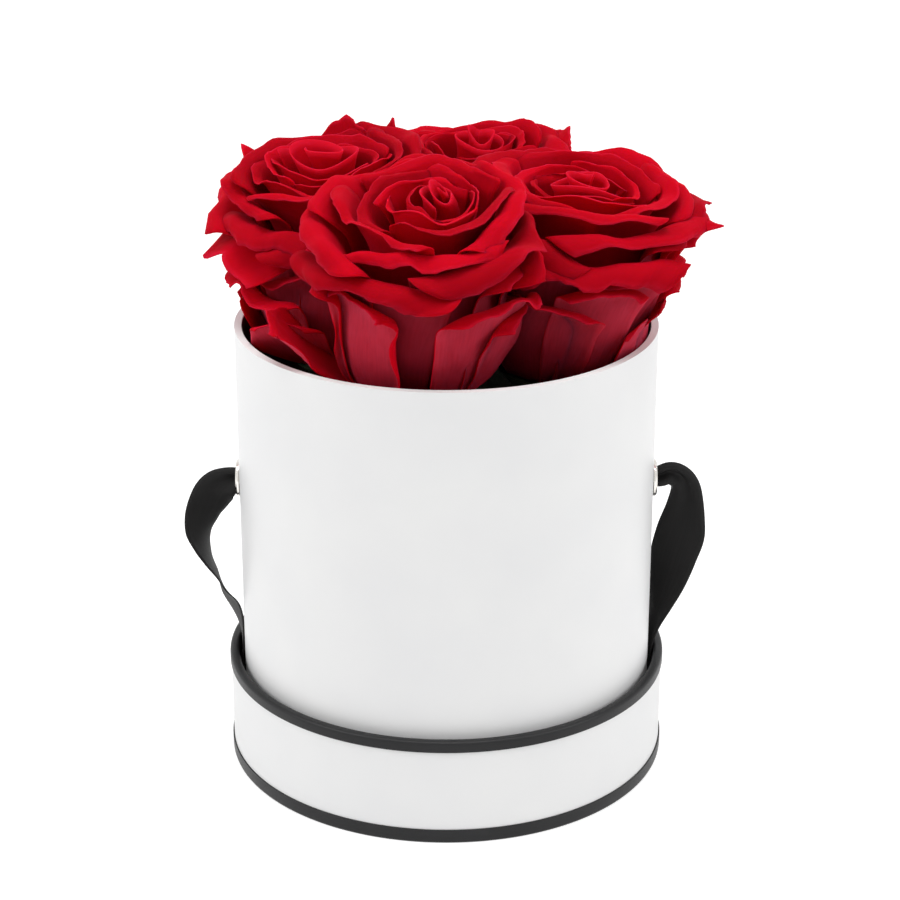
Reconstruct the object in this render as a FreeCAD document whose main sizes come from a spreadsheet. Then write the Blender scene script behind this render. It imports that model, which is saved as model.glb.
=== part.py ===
"""Round flower box: four preserved roses in a paper-covered card box with a ribbon
handle, standing in its own upturned lid, which serves as a tray.

Millimetres, +Z up. The origin is the centre of the tray's underside and the two
eyelets lie on the X axis.
"""

import FreeCAD
import Part
import Sketcher
import math
import os

doc = FreeCAD.newDocument("FlowerBox")
Vector = FreeCAD.Vector

# Driving dimensions: name, value, what it measures
SIZES = (
    ("box_diameter", 110.0, "box over its white wrap"),
    ("box_height", 118.4, "box from its underside to the rim"),
    ("wall_board", 1.5, "thickness of the rolled board of the box wall"),
    ("base_board", 2.0, "thickness of the board disc in the box base"),
    ("paper", 0.2, "thickness of every white or lining paper"),
    ("wrap_turn_in", 12.0, "wrap folded over the rim, down the inside"),
    ("liner_drop", 0.6, "top edge of the lining below the rim"),
    ("tray_height", 29.1, "tray from the table to its rim"),
    ("tray_board", 1.5, "thickness of the tray's wall board"),
    ("tray_floor_board", 2.0, "thickness of the tray's floor disc"),
    ("tray_gap", 1.5, "radial room between the box and the tray"),
    ("binding", 0.25, "thickness of the black edge bindings"),
    ("rim_band", 2.9, "height of the rim binding on the outside"),
    ("rim_turn_in", 5.0, "rim binding folded down the inside"),
    ("foot_band", 3.9, "height of the foot binding on the outside"),
    ("foot_turn_under", 5.0, "foot binding folded under the floor"),
    ("eyelet_height", 74.1, "eyelet centre above the box underside"),
    ("eyelet_hole", 5.6, "bore of the eyelet"),
    ("eyelet_barrel_wall", 0.35, "sheet thickness of the eyelet's barrel"),
    ("eyelet_flange", 10.0, "diameter of the eyelet's outer flange"),
    ("eyelet_flange_depth", 0.9, "how far the flange stands off the wall"),
    ("eyelet_flange_round", 0.4, "rounding of the flange's edge"),
    ("eyelet_clinch", 0.6, "how far the barrel is rolled over its washer"),
    ("washer_diameter", 10.0, "washer behind the eyelet"),
    ("washer_depth", 0.5, "thickness of that washer"),
    ("fit_clearance", 0.05, "radial room round barrels and stems"),
    ("ribbon_width", 13.5, "satin ribbon, laid flat"),
    ("ribbon_depth", 0.4, "thickness of the ribbon"),
    ("ribbon_folds", 3.0, "layers that the ribbon folds into inside an eyelet"),
    ("ribbon_tuck", 5.0, "depth below the tray rim where a loop ends"),
    ("ribbon_leave", 4.0, "height above the tray rim where a loop leaves the wall"),
    ("knot_diameter", 9.0, "knot that stops the ribbon inside the box"),
    ("knot_length", 5.0, "knot along the ribbon"),
    ("tail_length", 16.0, "ribbon end that hangs from a knot"),
    ("foam_drop", 24.0, "top of the foam below the rim"),
    ("foam_gap", 0.4, "radial room round the foam"),
    ("channel_gap", 1.5, "room round a knot in its foam channel"),
    ("rose_turn", -15.0, "bearing of the right rose from +X, in degrees"),
    ("rose_lean", 10.0, "outward lean that each rose has room for, in degrees"),
    ("rose_wall_gap", 1.0, "room between a rose's cup and the lining"),
    ("rose_gap", 0.6, "room between neighbouring roses"),
    ("rose_height", 54.0, "rose from the petals' seat to the heart"),
    ("rose_lip", 31.0, "radius over the lips of the guard petals"),
    ("heart_seat", 3.0, "radius of the heart where it is seated"),
    ("heart_crown", 5.2, "radius of the heart at the foot of its dome"),
    ("heart_crown_drop", 5.2, "foot of that dome below the top of the heart"),
    ("heart_shoulder", 4.2, "radius of the heart halfway up its dome"),
    ("heart_shoulder_drop", 2.1, "that radius below the top of the heart"),
    ("heart_tip", 1.8, "radius of the flat top of the heart"),
    ("inner_lip", 8.8, "radius over the lips of the first petals"),
    ("petal", 0.4, "thickness of a petal"),
    ("petal_gap", 0.25, "room between overlapping petals"),
    ("lip_drop", 1.5, "how much lower the second row of petals ends than the first"),
    ("lip_drop_growth", 1.5, "how much that drop grows with each further row"),
    ("skirt_lip", 26.0, "radius over the lips of the low loose petals"),
    ("skirt_height", 29.0, "the lips of those petals above their seat"),
    ("calyx_height", 9.0, "hip under the petals"),
    ("calyx_neck", 5.0, "radius of the hip at its underside"),
    ("stem_diameter", 5.0, "stem stub"),
    ("stem_length", 30.0, "stem stub inside the foam"),
    ("front_rise", 5.5, "clear stem under the front rose"),
    ("right_rise", 3.5, "clear stem under the right rose"),
    ("back_rise", 3.0, "clear stem under the back rose"),
    ("left_rise", 4.0, "clear stem under the left rose"),
    ("front_lean", 2.0, "outward lean of the front rose, in degrees"),
    ("right_lean", 5.0, "outward lean of the right rose, in degrees"),
    ("back_lean", 1.0, "outward lean of the back rose, in degrees"),
    ("left_lean", 7.0, "outward lean of the left rose, in degrees"),
    ("front_swing", 4.0, "lean of the front rose towards the right one, in degrees"),
    ("right_swing", 0.0, "lean of the right rose towards the back one, in degrees"),
    ("back_swing", -3.0, "lean of the back rose towards the left one, in degrees"),
    ("left_swing", 8.0, "lean of the left rose towards the front one, in degrees"),
)


class Length:
    """A size with its spreadsheet expression and its present value."""

    def __init__(self, text, number):
        self.text = text
        self.number = number

    def __float__(self):
        return float(self.number)

    def __add__(self, other):
        return Length(f"({self.text} + {text_of(other)})", float(self) + float(other))

    def __sub__(self, other):
        return Length(f"({self.text} - {text_of(other)})", float(self) - float(other))

    def __mul__(self, other):
        return Length(f"({self.text} * {text_of(other)})", float(self) * float(other))

    def __truediv__(self, other):
        return Length(f"({self.text} / {text_of(other)})", float(self) / float(other))

    def __neg__(self):
        return Length(f"(0 - {self.text})", -float(self))


def text_of(value):
    return value.text if isinstance(value, Length) else repr(float(value))


def chord_depth(radius, half_width):
    """Distance from a round wall's axis to a flat piece of that half width lying in it."""
    number = math.sqrt(float(radius) ** 2 - float(half_width) ** 2)
    return Length(f"sqrt({radius.text}^2 - {half_width.text}^2)", number)


sheet = doc.addObject("Spreadsheet::Sheet", "Sizes")
for row, (alias, value, note) in enumerate(SIZES, start=1):
    sheet.set(f"A{row}", alias)
    sheet.set(f"B{row}", str(value))
    sheet.set(f"C{row}", note)
    sheet.setAlias(f"B{row}", alias)
doc.recompute()
size = {alias: Length(f"Sizes.{alias}", sheet.get(alias)) for alias, _, _ in SIZES}

NODES = []
AXIS = Length("0", 0.0)
FULL_TURN = 360.0


def node(thing, label):
    """Marks an object of the document as a piece of the product."""
    thing.Label = label
    NODES.append(thing)
    return thing


def bind(thing, **values):
    """Sets properties of an object and ties each one to its expression."""
    for name, value in values.items():
        path = name.replace("__", ".")
        thing.setExpression(path, value.text)


def origin_plane(body, role):
    return next(f for f in body.Origin.OriginFeatures if f.Role == role)


def pin_corner(sketch, line, kind, axis, coordinate):
    """Ties one coordinate of a line's start to an expression, or to the axis itself."""
    if coordinate is AXIS:
        sketch.addConstraint(Sketcher.Constraint("PointOnObject", line, 1, axis))
        return
    at = sketch.addConstraint(Sketcher.Constraint(kind, -1, 1, line, 1, float(coordinate)))
    sketch.setExpression(f"Constraints[{at}]", coordinate.text)


def outline_sketch(body, role, corners):
    """A closed outline of straight lines, each corner tied to its two expressions."""
    sketch = body.newObject("Sketcher::SketchObject", "Outline")
    sketch.AttachmentSupport = [(origin_plane(body, role), "")]
    sketch.MapMode = "FlatFace"
    points = [Vector(float(u), float(v), 0) for u, v in corners]
    for at, point in enumerate(points):
        sketch.addGeometry(Part.LineSegment(point, points[(at + 1) % len(points)]), False)
    for at in range(len(points)):
        following = (at + 1) % len(points)
        sketch.addConstraint(Sketcher.Constraint("Coincident", at, 2, following, 1))
    for at, (u, v) in enumerate(corners):
        pin_corner(sketch, at, "DistanceX", -2, u)
        pin_corner(sketch, at, "DistanceY", -1, v)
    return sketch


def turned(label, corners):
    """A piece of revolution about Z from its (radius, height) outline."""
    body = doc.addObject("PartDesign::Body", "Body")
    sketch = outline_sketch(body, "XZ_Plane", corners)
    revolution = body.newObject("PartDesign::Revolution", "Turned")
    revolution.Profile = sketch
    revolution.ReferenceAxis = (sketch, ["V_Axis"])
    revolution.Angle = FULL_TURN
    return node(body, label)


def ring(label, inner, outer, bottom, top):
    return turned(label, [(inner, bottom), (outer, bottom), (outer, top), (inner, top)])


def disc(label, radius, bottom, top):
    return turned(label, [(AXIS, bottom), (radius, bottom), (radius, top), (AXIS, top)])


def eyelet_holes(body, radius, height):
    """Punches the two eyelet holes straight through along X, and checks that they cut."""
    doc.recompute()
    before = body.Shape.Volume
    sketch = body.newObject("Sketcher::SketchObject", "Punch")
    sketch.AttachmentSupport = [(origin_plane(body, "YZ_Plane"), "")]
    sketch.MapMode = "FlatFace"
    centre = Vector(0, float(height), 0)
    sketch.addGeometry(Part.Circle(centre, Vector(0, 0, 1), float(radius)), False)
    sketch.addConstraint(Sketcher.Constraint("PointOnObject", 0, 3, -2))
    at = sketch.addConstraint(Sketcher.Constraint("DistanceY", -1, 1, 0, 3, float(height)))
    sketch.setExpression(f"Constraints[{at}]", height.text)
    at = sketch.addConstraint(Sketcher.Constraint("Radius", 0, float(radius)))
    sketch.setExpression(f"Constraints[{at}]", radius.text)
    pocket = body.newObject("PartDesign::Pocket", "EyeletHoles")
    pocket.Profile = sketch
    pocket.Type = "ThroughAll"
    pocket.Midplane = True
    doc.recompute()
    if not body.Shape.Volume < before:
        raise RuntimeError(f"{body.Label}: the eyelet holes cut nothing")


# The tray is the box's lid, turned over: a board ring with a floor disc, covered in
# white paper, with a black binding round its rim and another round its foot.
box_radius = size["box_diameter"] / 2
tray_inner = box_radius + size["tray_gap"]
tray_liner_outer = tray_inner + size["binding"] + size["paper"]
tray_wall_outer = tray_liner_outer + size["tray_board"]
tray_wrap_outer = tray_wall_outer + size["paper"]
tray_outer = tray_wrap_outer + size["binding"]
tray_floor_bottom = size["binding"]
tray_floor_top = tray_floor_bottom + size["tray_floor_board"]
tray_floor = tray_floor_top + size["paper"]
tray_rim = size["tray_height"]
tray_board_top = tray_rim - size["binding"]
tray_liner_inner = tray_liner_outer - size["paper"]
foot_inner = tray_outer - size["foot_turn_under"]

ring("tray_wall_board", tray_liner_outer, tray_wall_outer, tray_floor_bottom, tray_board_top)
disc("tray_floor_board", tray_liner_outer, tray_floor_bottom, tray_floor_top)
ring("tray_side_wrap", tray_wall_outer, tray_wrap_outer, tray_floor_bottom, tray_board_top)
ring("tray_liner", tray_liner_inner, tray_liner_outer, tray_floor_top, tray_board_top)
disc("tray_floor_liner", tray_liner_inner, tray_floor_top, tray_floor)
turned(
    "tray_rim_binding",
    [
        (tray_wrap_outer, tray_rim - size["rim_band"]),
        (tray_outer, tray_rim - size["rim_band"]),
        (tray_outer, tray_rim),
        (tray_inner, tray_rim),
        (tray_inner, tray_rim - size["rim_turn_in"]),
        (tray_liner_inner, tray_rim - size["rim_turn_in"]),
        (tray_liner_inner, tray_board_top),
        (tray_wrap_outer, tray_board_top),
    ],
)
turned(
    "tray_foot_binding",
    [
        (foot_inner, AXIS),
        (tray_outer, AXIS),
        (tray_outer, size["foot_band"]),
        (tray_wrap_outer, size["foot_band"]),
        (tray_wrap_outer, tray_floor_bottom),
        (foot_inner, tray_floor_bottom),
    ],
)
disc("tray_base_paper", foot_inner, AXIS, tray_floor_bottom)


# The box is a rolled board tube with a board disc glued in at the bottom. A white wrap
# goes round it and over the rim, and a dark lining hides the turned-in edge. It stands
# on the ribbon, which runs underneath it.
box_bottom = tray_floor + size["ribbon_depth"]
base_bottom = box_bottom + size["paper"]
base_top = base_bottom + size["base_board"]
box_floor = base_top + size["paper"]
box_rim = box_bottom + size["box_height"]
board_outer = box_radius - size["paper"]
board_inner = board_outer - size["wall_board"]
turn_in_inner = board_inner - size["paper"]
liner_inner = turn_in_inner - size["paper"]
board_top = box_rim - size["paper"]
liner_top = box_rim - size["liner_drop"]

wall_board = ring("box_wall_board", board_inner, board_outer, base_bottom, board_top)
disc("box_base_board", board_inner, base_bottom, base_top)
wrap = turned(
    "box_side_wrap",
    [
        (board_outer, base_bottom),
        (box_radius, base_bottom),
        (box_radius, box_rim),
        (turn_in_inner, box_rim),
        (turn_in_inner, box_rim - size["wrap_turn_in"]),
        (board_inner, box_rim - size["wrap_turn_in"]),
        (board_inner, board_top),
        (board_outer, board_top),
    ],
)
disc("box_base_paper", box_radius, box_bottom, base_bottom)
liner = ring("box_liner", liner_inner, turn_in_inner, base_top, liner_top)
disc("box_floor_liner", liner_inner, base_top, box_floor)


# Each eyelet is a drawn sheet-metal flange and barrel. The barrel goes through the wall
# and is rolled over a washer on the inside. Its own Z runs outwards along the barrel.
hole_radius = size["eyelet_hole"] / 2
barrel_radius = hole_radius + size["eyelet_barrel_wall"]
punch_radius = barrel_radius + size["fit_clearance"]
flange_radius = size["eyelet_flange"] / 2
washer_radius = size["washer_diameter"] / 2
washer_face = chord_depth(liner_inner, washer_radius) - size["fit_clearance"]
clinch_face = washer_face - size["washer_depth"]
barrel_end = clinch_face - size["eyelet_barrel_wall"]
clinch_radius = barrel_radius + size["eyelet_clinch"]
eyelet_z = box_bottom + size["eyelet_height"]
flange_foot = box_radius - barrel_end
flange_top = flange_foot + size["eyelet_flange_depth"]

for wall in (wall_board, wrap, liner):
    eyelet_holes(wall, punch_radius, eyelet_z)

SIDES = (("left", -1.0), ("right", 1.0))


def face_outwards(thing, side, start):
    """Turns a piece's own Z to point out of the box at one eyelet."""
    place = Vector(side * float(start), 0, float(eyelet_z))
    thing.Placement = FreeCAD.Placement(place, FreeCAD.Rotation(Vector(0, 1, 0), side * 90.0))
    bind(thing, Placement__Base__x=start * side, Placement__Base__z=eyelet_z)


for side_name, side in SIDES:
    eyelet = turned(
        f"{side_name}_eyelet",
        [
            (hole_radius, AXIS),
            (clinch_radius, AXIS),
            (clinch_radius, size["eyelet_barrel_wall"]),
            (barrel_radius, size["eyelet_barrel_wall"]),
            (barrel_radius, flange_foot),
            (flange_radius, flange_foot),
            (flange_radius, flange_top - size["eyelet_flange_round"]),
            (flange_radius - size["eyelet_flange_round"], flange_top),
            (hole_radius + size["eyelet_flange_round"], flange_top),
            (hole_radius, flange_top - size["eyelet_flange_round"]),
        ],
    )
    face_outwards(eyelet, side, barrel_end)
    washer = ring(
        f"{side_name}_eyelet_washer", punch_radius, washer_radius, AXIS, size["washer_depth"]
    )
    face_outwards(washer, side, clinch_face)


# One satin ribbon is the carrying handle. Each end is folded through an eyelet and
# knotted inside. With the lid used as a tray, the middle is tucked down beside the box
# and lies flat underneath it.
def block(name, length, width, height, corner):
    """A plain box of the document with its sizes and its lowest corner bound."""
    box = doc.addObject("Part::Box", name)
    bind(box, Length=length, Width=width, Height=height)
    x, y, z = corner
    bind(box, Placement__Base__x=x, Placement__Base__y=y, Placement__Base__z=z)
    return box


ribbon_inner = box_radius + size["fit_clearance"]
ribbon_outer = ribbon_inner + size["ribbon_depth"]
ribbon_lay = ribbon_inner + size["ribbon_depth"] / 2
tuck_top = tray_rim - size["ribbon_tuck"]
half_ribbon = size["ribbon_width"] / 2
strips = [
    block(
        "UnderStrip",
        ribbon_outer * 2,
        size["ribbon_width"],
        size["ribbon_depth"],
        (-ribbon_outer, -half_ribbon, tray_floor),
    )
]
for start in (-ribbon_outer, ribbon_inner):
    strips.append(
        block(
            "SideStrip",
            size["ribbon_depth"],
            size["ribbon_width"],
            tuck_top - tray_floor,
            (start, -half_ribbon, tray_floor),
        )
    )
under = doc.addObject("Part::MultiFuse", "RibbonUnder")
under.Shapes = strips
under.Refine = True
node(under, "ribbon_under_box")

LOOP_SECTIONS = 18  # rectangles that a loop is lofted through
FAN_SHARE = 0.3  # part of a loop over which the folded ribbon fans out
TWIST_SHARE = 0.72  # part of a loop over which it turns a quarter

# Route of a loop in millimetres: out from the wall, and above the eyelet or the tray rim
LOOP_BY_EYELET = ((1.5, 0.0), (5.3, 2.1), (9.1, -1.0), (10.6, -11.5))
LOOP_BY_RIM = ((8.3, 25.4), (3.8, 13.4))


def smooth(share):
    share = min(max(share, 0.0), 1.0)
    return share * share * (3 - 2 * share)


def loop_line():
    """Curved centre line of a loop on the +X side, from its eyelet down to the wall."""
    wall = float(box_radius)
    points = [Vector(wall + out, 0, float(eyelet_z) + up) for out, up in LOOP_BY_EYELET]
    points += [Vector(wall + out, 0, float(tray_rim) + up) for out, up in LOOP_BY_RIM]
    points.append(Vector(float(ribbon_lay), 0, float(tray_rim + size["ribbon_leave"])))
    return points


def section(centre, along, share):
    """The ribbon's rectangle at one point of a loop: folded, then flat and turning."""
    folds = float(size["ribbon_folds"])
    fan = smooth(share / FAN_SHARE)
    layers = folds + (1.0 - folds) * fan
    half_width = float(half_ribbon) / layers
    half_depth = float(size["ribbon_depth"]) * layers / 2
    turn = math.radians(90.0) * smooth(share / TWIST_SHARE)
    across = Vector(0, 1, 0)
    upright = across.cross(along).normalize()
    width = upright * math.cos(turn) + across * math.sin(turn)
    depth = along.cross(width).normalize()
    corners = [
        centre + width * (half_width * a) + depth * (half_depth * b)
        for a, b in ((-1, -1), (1, -1), (1, 1), (-1, 1))
    ]
    return Part.makePolygon(corners + corners[:1])


def ribbon_loop():
    """One hanging loop on the +X side: folded through its eyelet, straight in the tray."""
    out, down = Vector(1, 0, 0), Vector(0, 0, -1)
    curve = Part.BSplineCurve()
    curve.interpolate(loop_line(), InitialTangent=out, FinalTangent=down, Scale=False)
    first, last = curve.FirstParameter, curve.LastParameter
    inside = Vector(float(barrel_end), 0, float(eyelet_z))
    tucked = Vector(float(ribbon_lay), 0, float(tuck_top))
    wires = [section(inside, out, 0.0)]
    for at in range(LOOP_SECTIONS + 1):
        share = at / LOOP_SECTIONS
        parameter = first + (last - first) * share
        along = curve.tangent(parameter)[0]
        wires.append(section(curve.value(parameter), along, share))
    wires.append(section(tucked, down, 1.0))
    return Part.makeLoft(wires, True, True)


half_turn = FreeCAD.Rotation(Vector(0, 0, 1), 180)
for side_name, side in SIDES:
    loop = doc.addObject("Part::Feature", "RibbonLoop")
    loop.Shape = ribbon_loop()
    if side < 0:
        loop.Placement = FreeCAD.Placement(Vector(0, 0, 0), half_turn)
    node(loop, f"ribbon_{side_name}_loop")

knot_radius = size["knot_diameter"] / 2
knot_round = size["knot_length"] / 4
for side_name, side in SIDES:
    knot = turned(
        f"{side_name}_knot_turn",
        [
            (AXIS, AXIS),
            (knot_radius - knot_round, AXIS),
            (knot_radius, knot_round),
            (knot_radius, size["knot_length"] - knot_round),
            (knot_radius - knot_round, size["knot_length"]),
            (AXIS, size["knot_length"]),
        ],
    )
    NODES.remove(knot)
    knot_start = barrel_end - size["knot_length"]
    face_outwards(knot, side, knot_start)
    tail_middle = (knot_start + size["knot_length"] / 2) * side
    tail = block(
        "KnotTail",
        size["ribbon_depth"],
        size["ribbon_width"],
        size["tail_length"],
        (tail_middle - size["ribbon_depth"] / 2, -half_ribbon, eyelet_z - size["tail_length"]),
    )
    tied = doc.addObject("Part::Fuse", "Knot")
    tied.Base = knot
    tied.Tool = tail
    node(tied, f"{side_name}_ribbon_knot")


# The foam fills the box to below the rim. It has a channel down each side for the knots
# and a slanting hole for each stem.
foam_radius = liner_inner - size["foam_gap"]
foam_top = box_rim - size["foam_drop"]
foam_height = foam_top - box_floor
channel_inner = barrel_end - size["knot_length"] - size["channel_gap"]
channel_half = half_ribbon + size["channel_gap"]
stem_radius = size["stem_diameter"] / 2

# Rows of petals from the heart outwards: how many, and the turn of the row in degrees
ROWS = ((3, 0.0), (4, 40.0), (5, 15.0), (5, 52.0), (5, 18.0))
SKIRT = (5, 54.0)  # the low loose petals below the guard petals
ROW_OVERLAP = 1.25  # width of a petal against its share of the row
BELLY_OUT = 0.45  # how far out the belly lies between seat and lip
SKIRT_OUT = 0.63  # the same for the loose petals, which pass round the guard petals
BELLY_UP = 0.5  # how high it lies
BELLY_LEAN = 4.0  # outward lean of a petal there, in degrees
SHOULDER_IN = 0.9  # width of a petal at its shoulders against its lip
SHOULDER_UP = 0.8  # height of the shoulders
STEEPEST = 1.4  # a slanting petal's level thickness against its own
RUN_OUT = 1.5  # extra length below the seat that is then cut level


class PetalRow:
    """Sizes of one row of overlapping petals round the heart."""

    def __init__(self, count, turn, lip, height, belly_out):
        self.count = count
        self.turn = turn
        self.lip = lip
        self.height = height
        self.belly_out = belly_out
        self.half_angle = math.radians(180.0 / count * ROW_OVERLAP)
        slant = float(size["petal"]) * STEEPEST
        self.offset = (slant + float(size["petal_gap"])) / (2 * math.sin(math.pi / count))
        self.half_band = self.offset * math.sin(self.half_angle) + slant / 2
        self.seat = None

    def seated(self, inside):
        """Places the row outside the given radius and returns the radius it takes up."""
        self.seat = inside + float(size["petal_gap"]) + self.half_band
        self.belly = self.seat + (self.lip - self.seat) * self.belly_out
        self.belly_height = self.height * BELLY_UP
        return self.seat + self.half_band


rows = []
lip_step = (float(size["rose_lip"]) - float(size["inner_lip"])) / (len(ROWS) - 1)
row_lip = float(size["inner_lip"])
row_height = float(size["rose_height"])
row_drop = float(size["lip_drop"])
for count, turn in ROWS:
    rows.append(PetalRow(count, turn, row_lip, row_height, BELLY_OUT))
    row_lip += lip_step
    row_height -= row_drop
    row_drop += float(size["lip_drop_growth"])
rows.append(PetalRow(*SKIRT, float(size["skirt_lip"]), float(size["skirt_height"]), SKIRT_OUT))
taken = float(size["heart_seat"])
for petal_row in rows:
    taken = petal_row.seated(taken)
calyx_radius = taken


def tangent_arc(start, end, tangent):
    """Middle of the arc from start to end that leaves along tangent, and its end tangent."""
    chord = end - start
    swing = math.atan2(chord.x, chord.z) - math.atan2(tangent.x, tangent.z)
    lean = math.atan2(chord.x, chord.z) + swing
    bulge = chord.Length / 2 * math.tan(swing / 2)
    across = Vector(-chord.z, 0, chord.x).normalize()
    return (start + end) * 0.5 + across * bulge, Vector(math.sin(lean), 0, math.cos(lean))


def petal_profile(row):
    """Cross-section of a petal: up from its seat, round the belly and out to the lip."""
    half = float(size["petal"]) / 2
    seat = Vector(row.seat, 0, 0)
    belly = Vector(row.belly, 0, row.belly_height)
    lip = Vector(row.lip, 0, row.height)
    lean = math.radians(BELLY_LEAN)
    up = Vector(math.sin(lean), 0, math.cos(lean))
    low_middle, down = tangent_arc(belly, seat, up * -1)
    high_middle, out = tangent_arc(belly, lip, up)
    centre_line = [
        (seat + down * RUN_OUT, down * -1),
        (seat, down * -1),
        (low_middle, belly - seat),
        (belly, up),
        (high_middle, lip - belly),
        (lip, out),
    ]

    def side(sign):
        points = []
        for point, along in centre_line:
            outwards = Vector(along.z, 0, -along.x).normalize()
            points.append(point + outwards * (half * sign))
        return points

    a, b = side(-1), side(1)
    edges = [
        Part.LineSegment(a[0], a[1]),
        Part.Arc(a[1], a[2], a[3]),
        Part.Arc(a[3], a[4], a[5]),
        Part.LineSegment(a[5], b[5]),
        Part.Arc(b[5], b[4], b[3]),
        Part.Arc(b[3], b[2], b[1]),
        Part.LineSegment(b[1], b[0]),
        Part.LineSegment(b[0], a[0]),
    ]
    return Part.Face(Part.Wire([edge.toShape() for edge in edges]))


def petal_outline(row):
    """A prism with a petal's outline: narrow seat, wide shoulders and a rounded top."""
    spread = math.sin(row.half_angle)
    seat, belly, shoulder = row.seat * spread, row.belly * spread, row.lip * spread * SHOULDER_IN
    level = row.height * SHOULDER_UP
    corners = [
        Vector(0, -shoulder, level),
        Vector(0, -belly, row.belly_height),
        Vector(0, -seat, 0),
        Vector(0, seat, 0),
        Vector(0, belly, row.belly_height),
        Vector(0, shoulder, level),
    ]
    edges = [Part.LineSegment(a, b).toShape() for a, b in zip(corners, corners[1:])]
    crown = Vector(0, 0, row.height + float(size["petal"]))
    edges.append(Part.Arc(corners[-1], crown, corners[0]).toShape())
    return Part.Face(Part.Wire(edges)).extrude(Vector(row.lip * 2, 0, 0))


def one_petal(row):
    swept = petal_profile(row).revolve(Vector(0, 0, 0), Vector(0, 0, 1), FULL_TURN / 2)
    swept.rotate(Vector(0, 0, 0), Vector(0, 0, 1), -FULL_TURN / 4)
    petal = swept.common(petal_outline(row)).Solids[0]
    petal.translate(Vector(0, row.offset, 0))
    return petal


def row_of_petals(row):
    petal = one_petal(row)
    placed = []
    for at in range(row.count):
        copy = petal.copy()
        copy.rotate(Vector(0, 0, 0), Vector(0, 0, 1), row.turn + FULL_TURN / row.count * at)
        placed.append(copy)
    return placed


# A rose: the calyx seats the heart and the rows of petals, and a stem stub holds it in
# the foam. The roses stand in a ring, leaning outwards, and press flat on each other.
ROSES = ("right", "back", "left", "front")
quarter = FULL_TURN / len(ROSES)
lean = math.radians(float(size["rose_lean"]))
cups = [r.belly + r.half_band + r.belly_height * math.sin(lean) for r in rows]
seat_circle = float(liner_inner) - float(size["rose_wall_gap"]) - max(cups)
seat_height = (
    float(foam_top)
    + float(size["calyx_neck"]) * math.sin(lean)
    + float(size["calyx_height"]) * math.cos(lean)
)


def rose_placement(at, name):
    """Frame of a rose: origin at the petals' seat, Z along its stem, X outwards."""
    bearing = float(size["rose_turn"]) + quarter * at
    turn = FreeCAD.Rotation(Vector(0, 0, 1), bearing)
    tip = FreeCAD.Rotation(Vector(0, 1, 0), float(size[f"{name}_lean"]))
    swing = FreeCAD.Rotation(Vector(1, 0, 0), -float(size[f"{name}_swing"]))
    rise = float(size[f"{name}_rise"])
    seat = turn.multVec(Vector(seat_circle, 0, 0)) + Vector(0, 0, seat_height + rise)
    return FreeCAD.Placement(seat, turn.multiply(tip).multiply(swing))


def own_quarter(at):
    """The wedge of room that belongs to one rose, up to half the gap to its neighbours."""
    bearing = math.radians(float(size["rose_turn"]) + quarter * at)
    half = math.radians(quarter / 2)
    reach = float(size["box_diameter"]) * 2
    tip = float(size["rose_gap"]) / 2 / math.sin(half)
    out = Vector(math.cos(bearing), math.sin(bearing), 0)
    edges = [
        Vector(math.cos(bearing + turn), math.sin(bearing + turn), 0) for turn in (-half, half)
    ]
    corners = [out * tip, out * tip + edges[0] * reach, out * tip + edges[1] * reach]
    face = Part.Face(Part.makePolygon(corners + corners[:1]))
    return face.extrude(Vector(0, 0, float(box_rim) + reach))


PETAL_NODES = (
    ("inner_petals", rows[:2]),
    ("middle_petals", rows[2:3]),
    ("outer_petals", rows[3:4]),
    ("guard_petals", rows[4:]),
)
row_shapes = {id(petal_row): row_of_petals(petal_row) for petal_row in rows}
stem_holes = []
for at, name in enumerate(ROSES):
    frame = rose_placement(at, name)
    room = own_quarter(at)
    rise = size[f"{name}_rise"]

    stem = doc.addObject("Part::Cylinder", "Stem")
    bind(stem, Radius=stem_radius, Height=size["stem_length"] + rise)
    stem_foot = -float(size["calyx_height"] + size["stem_length"] + rise)
    stem.Placement = frame.multiply(FreeCAD.Placement(Vector(0, 0, stem_foot), FreeCAD.Rotation()))
    node(stem, f"{name}_rose_stem")
    hole = doc.addObject("Part::Cylinder", "StemHole")
    bind(hole, Radius=stem_radius + size["fit_clearance"])
    bind(hole, Height=size["stem_length"] + rise + size["calyx_height"])
    hole.Placement = stem.Placement
    stem_holes.append(hole)

    calyx_top = Length(repr(calyx_radius), calyx_radius)
    calyx = turned(
        f"{name}_rose_calyx",
        [
            (AXIS, AXIS),
            (size["calyx_neck"], AXIS),
            (calyx_top, size["calyx_height"] - size["petal"]),
            (calyx_top, size["calyx_height"]),
            (AXIS, size["calyx_height"]),
        ],
    )
    calyx_foot = Vector(0, 0, -float(size["calyx_height"]))
    calyx.Placement = frame.multiply(FreeCAD.Placement(calyx_foot, FreeCAD.Rotation()))

    heart = turned(
        f"{name}_rose_heart",
        [
            (AXIS, AXIS),
            (size["heart_seat"], AXIS),
            (size["heart_crown"], size["rose_height"] - size["heart_crown_drop"]),
            (size["heart_shoulder"], size["rose_height"] - size["heart_shoulder_drop"]),
            (size["heart_tip"], size["rose_height"]),
            (AXIS, size["rose_height"]),
        ],
    )
    heart.Placement = frame

    for part_name, part_rows in PETAL_NODES:
        petals = []
        for petal_row in part_rows:
            for shape in row_shapes[id(petal_row)]:
                placed = shape.copy()
                placed.Placement = frame.multiply(placed.Placement)
                pieces = sorted(placed.common(room).Solids, key=lambda solid: solid.Volume)
                petals.extend(pieces[-1:])  # a sliver that the cut leaves is dropped
        feature = doc.addObject("Part::Feature", "Petals")
        feature.Shape = Part.makeCompound(petals)
        node(feature, f"{name}_rose_{part_name}")

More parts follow.
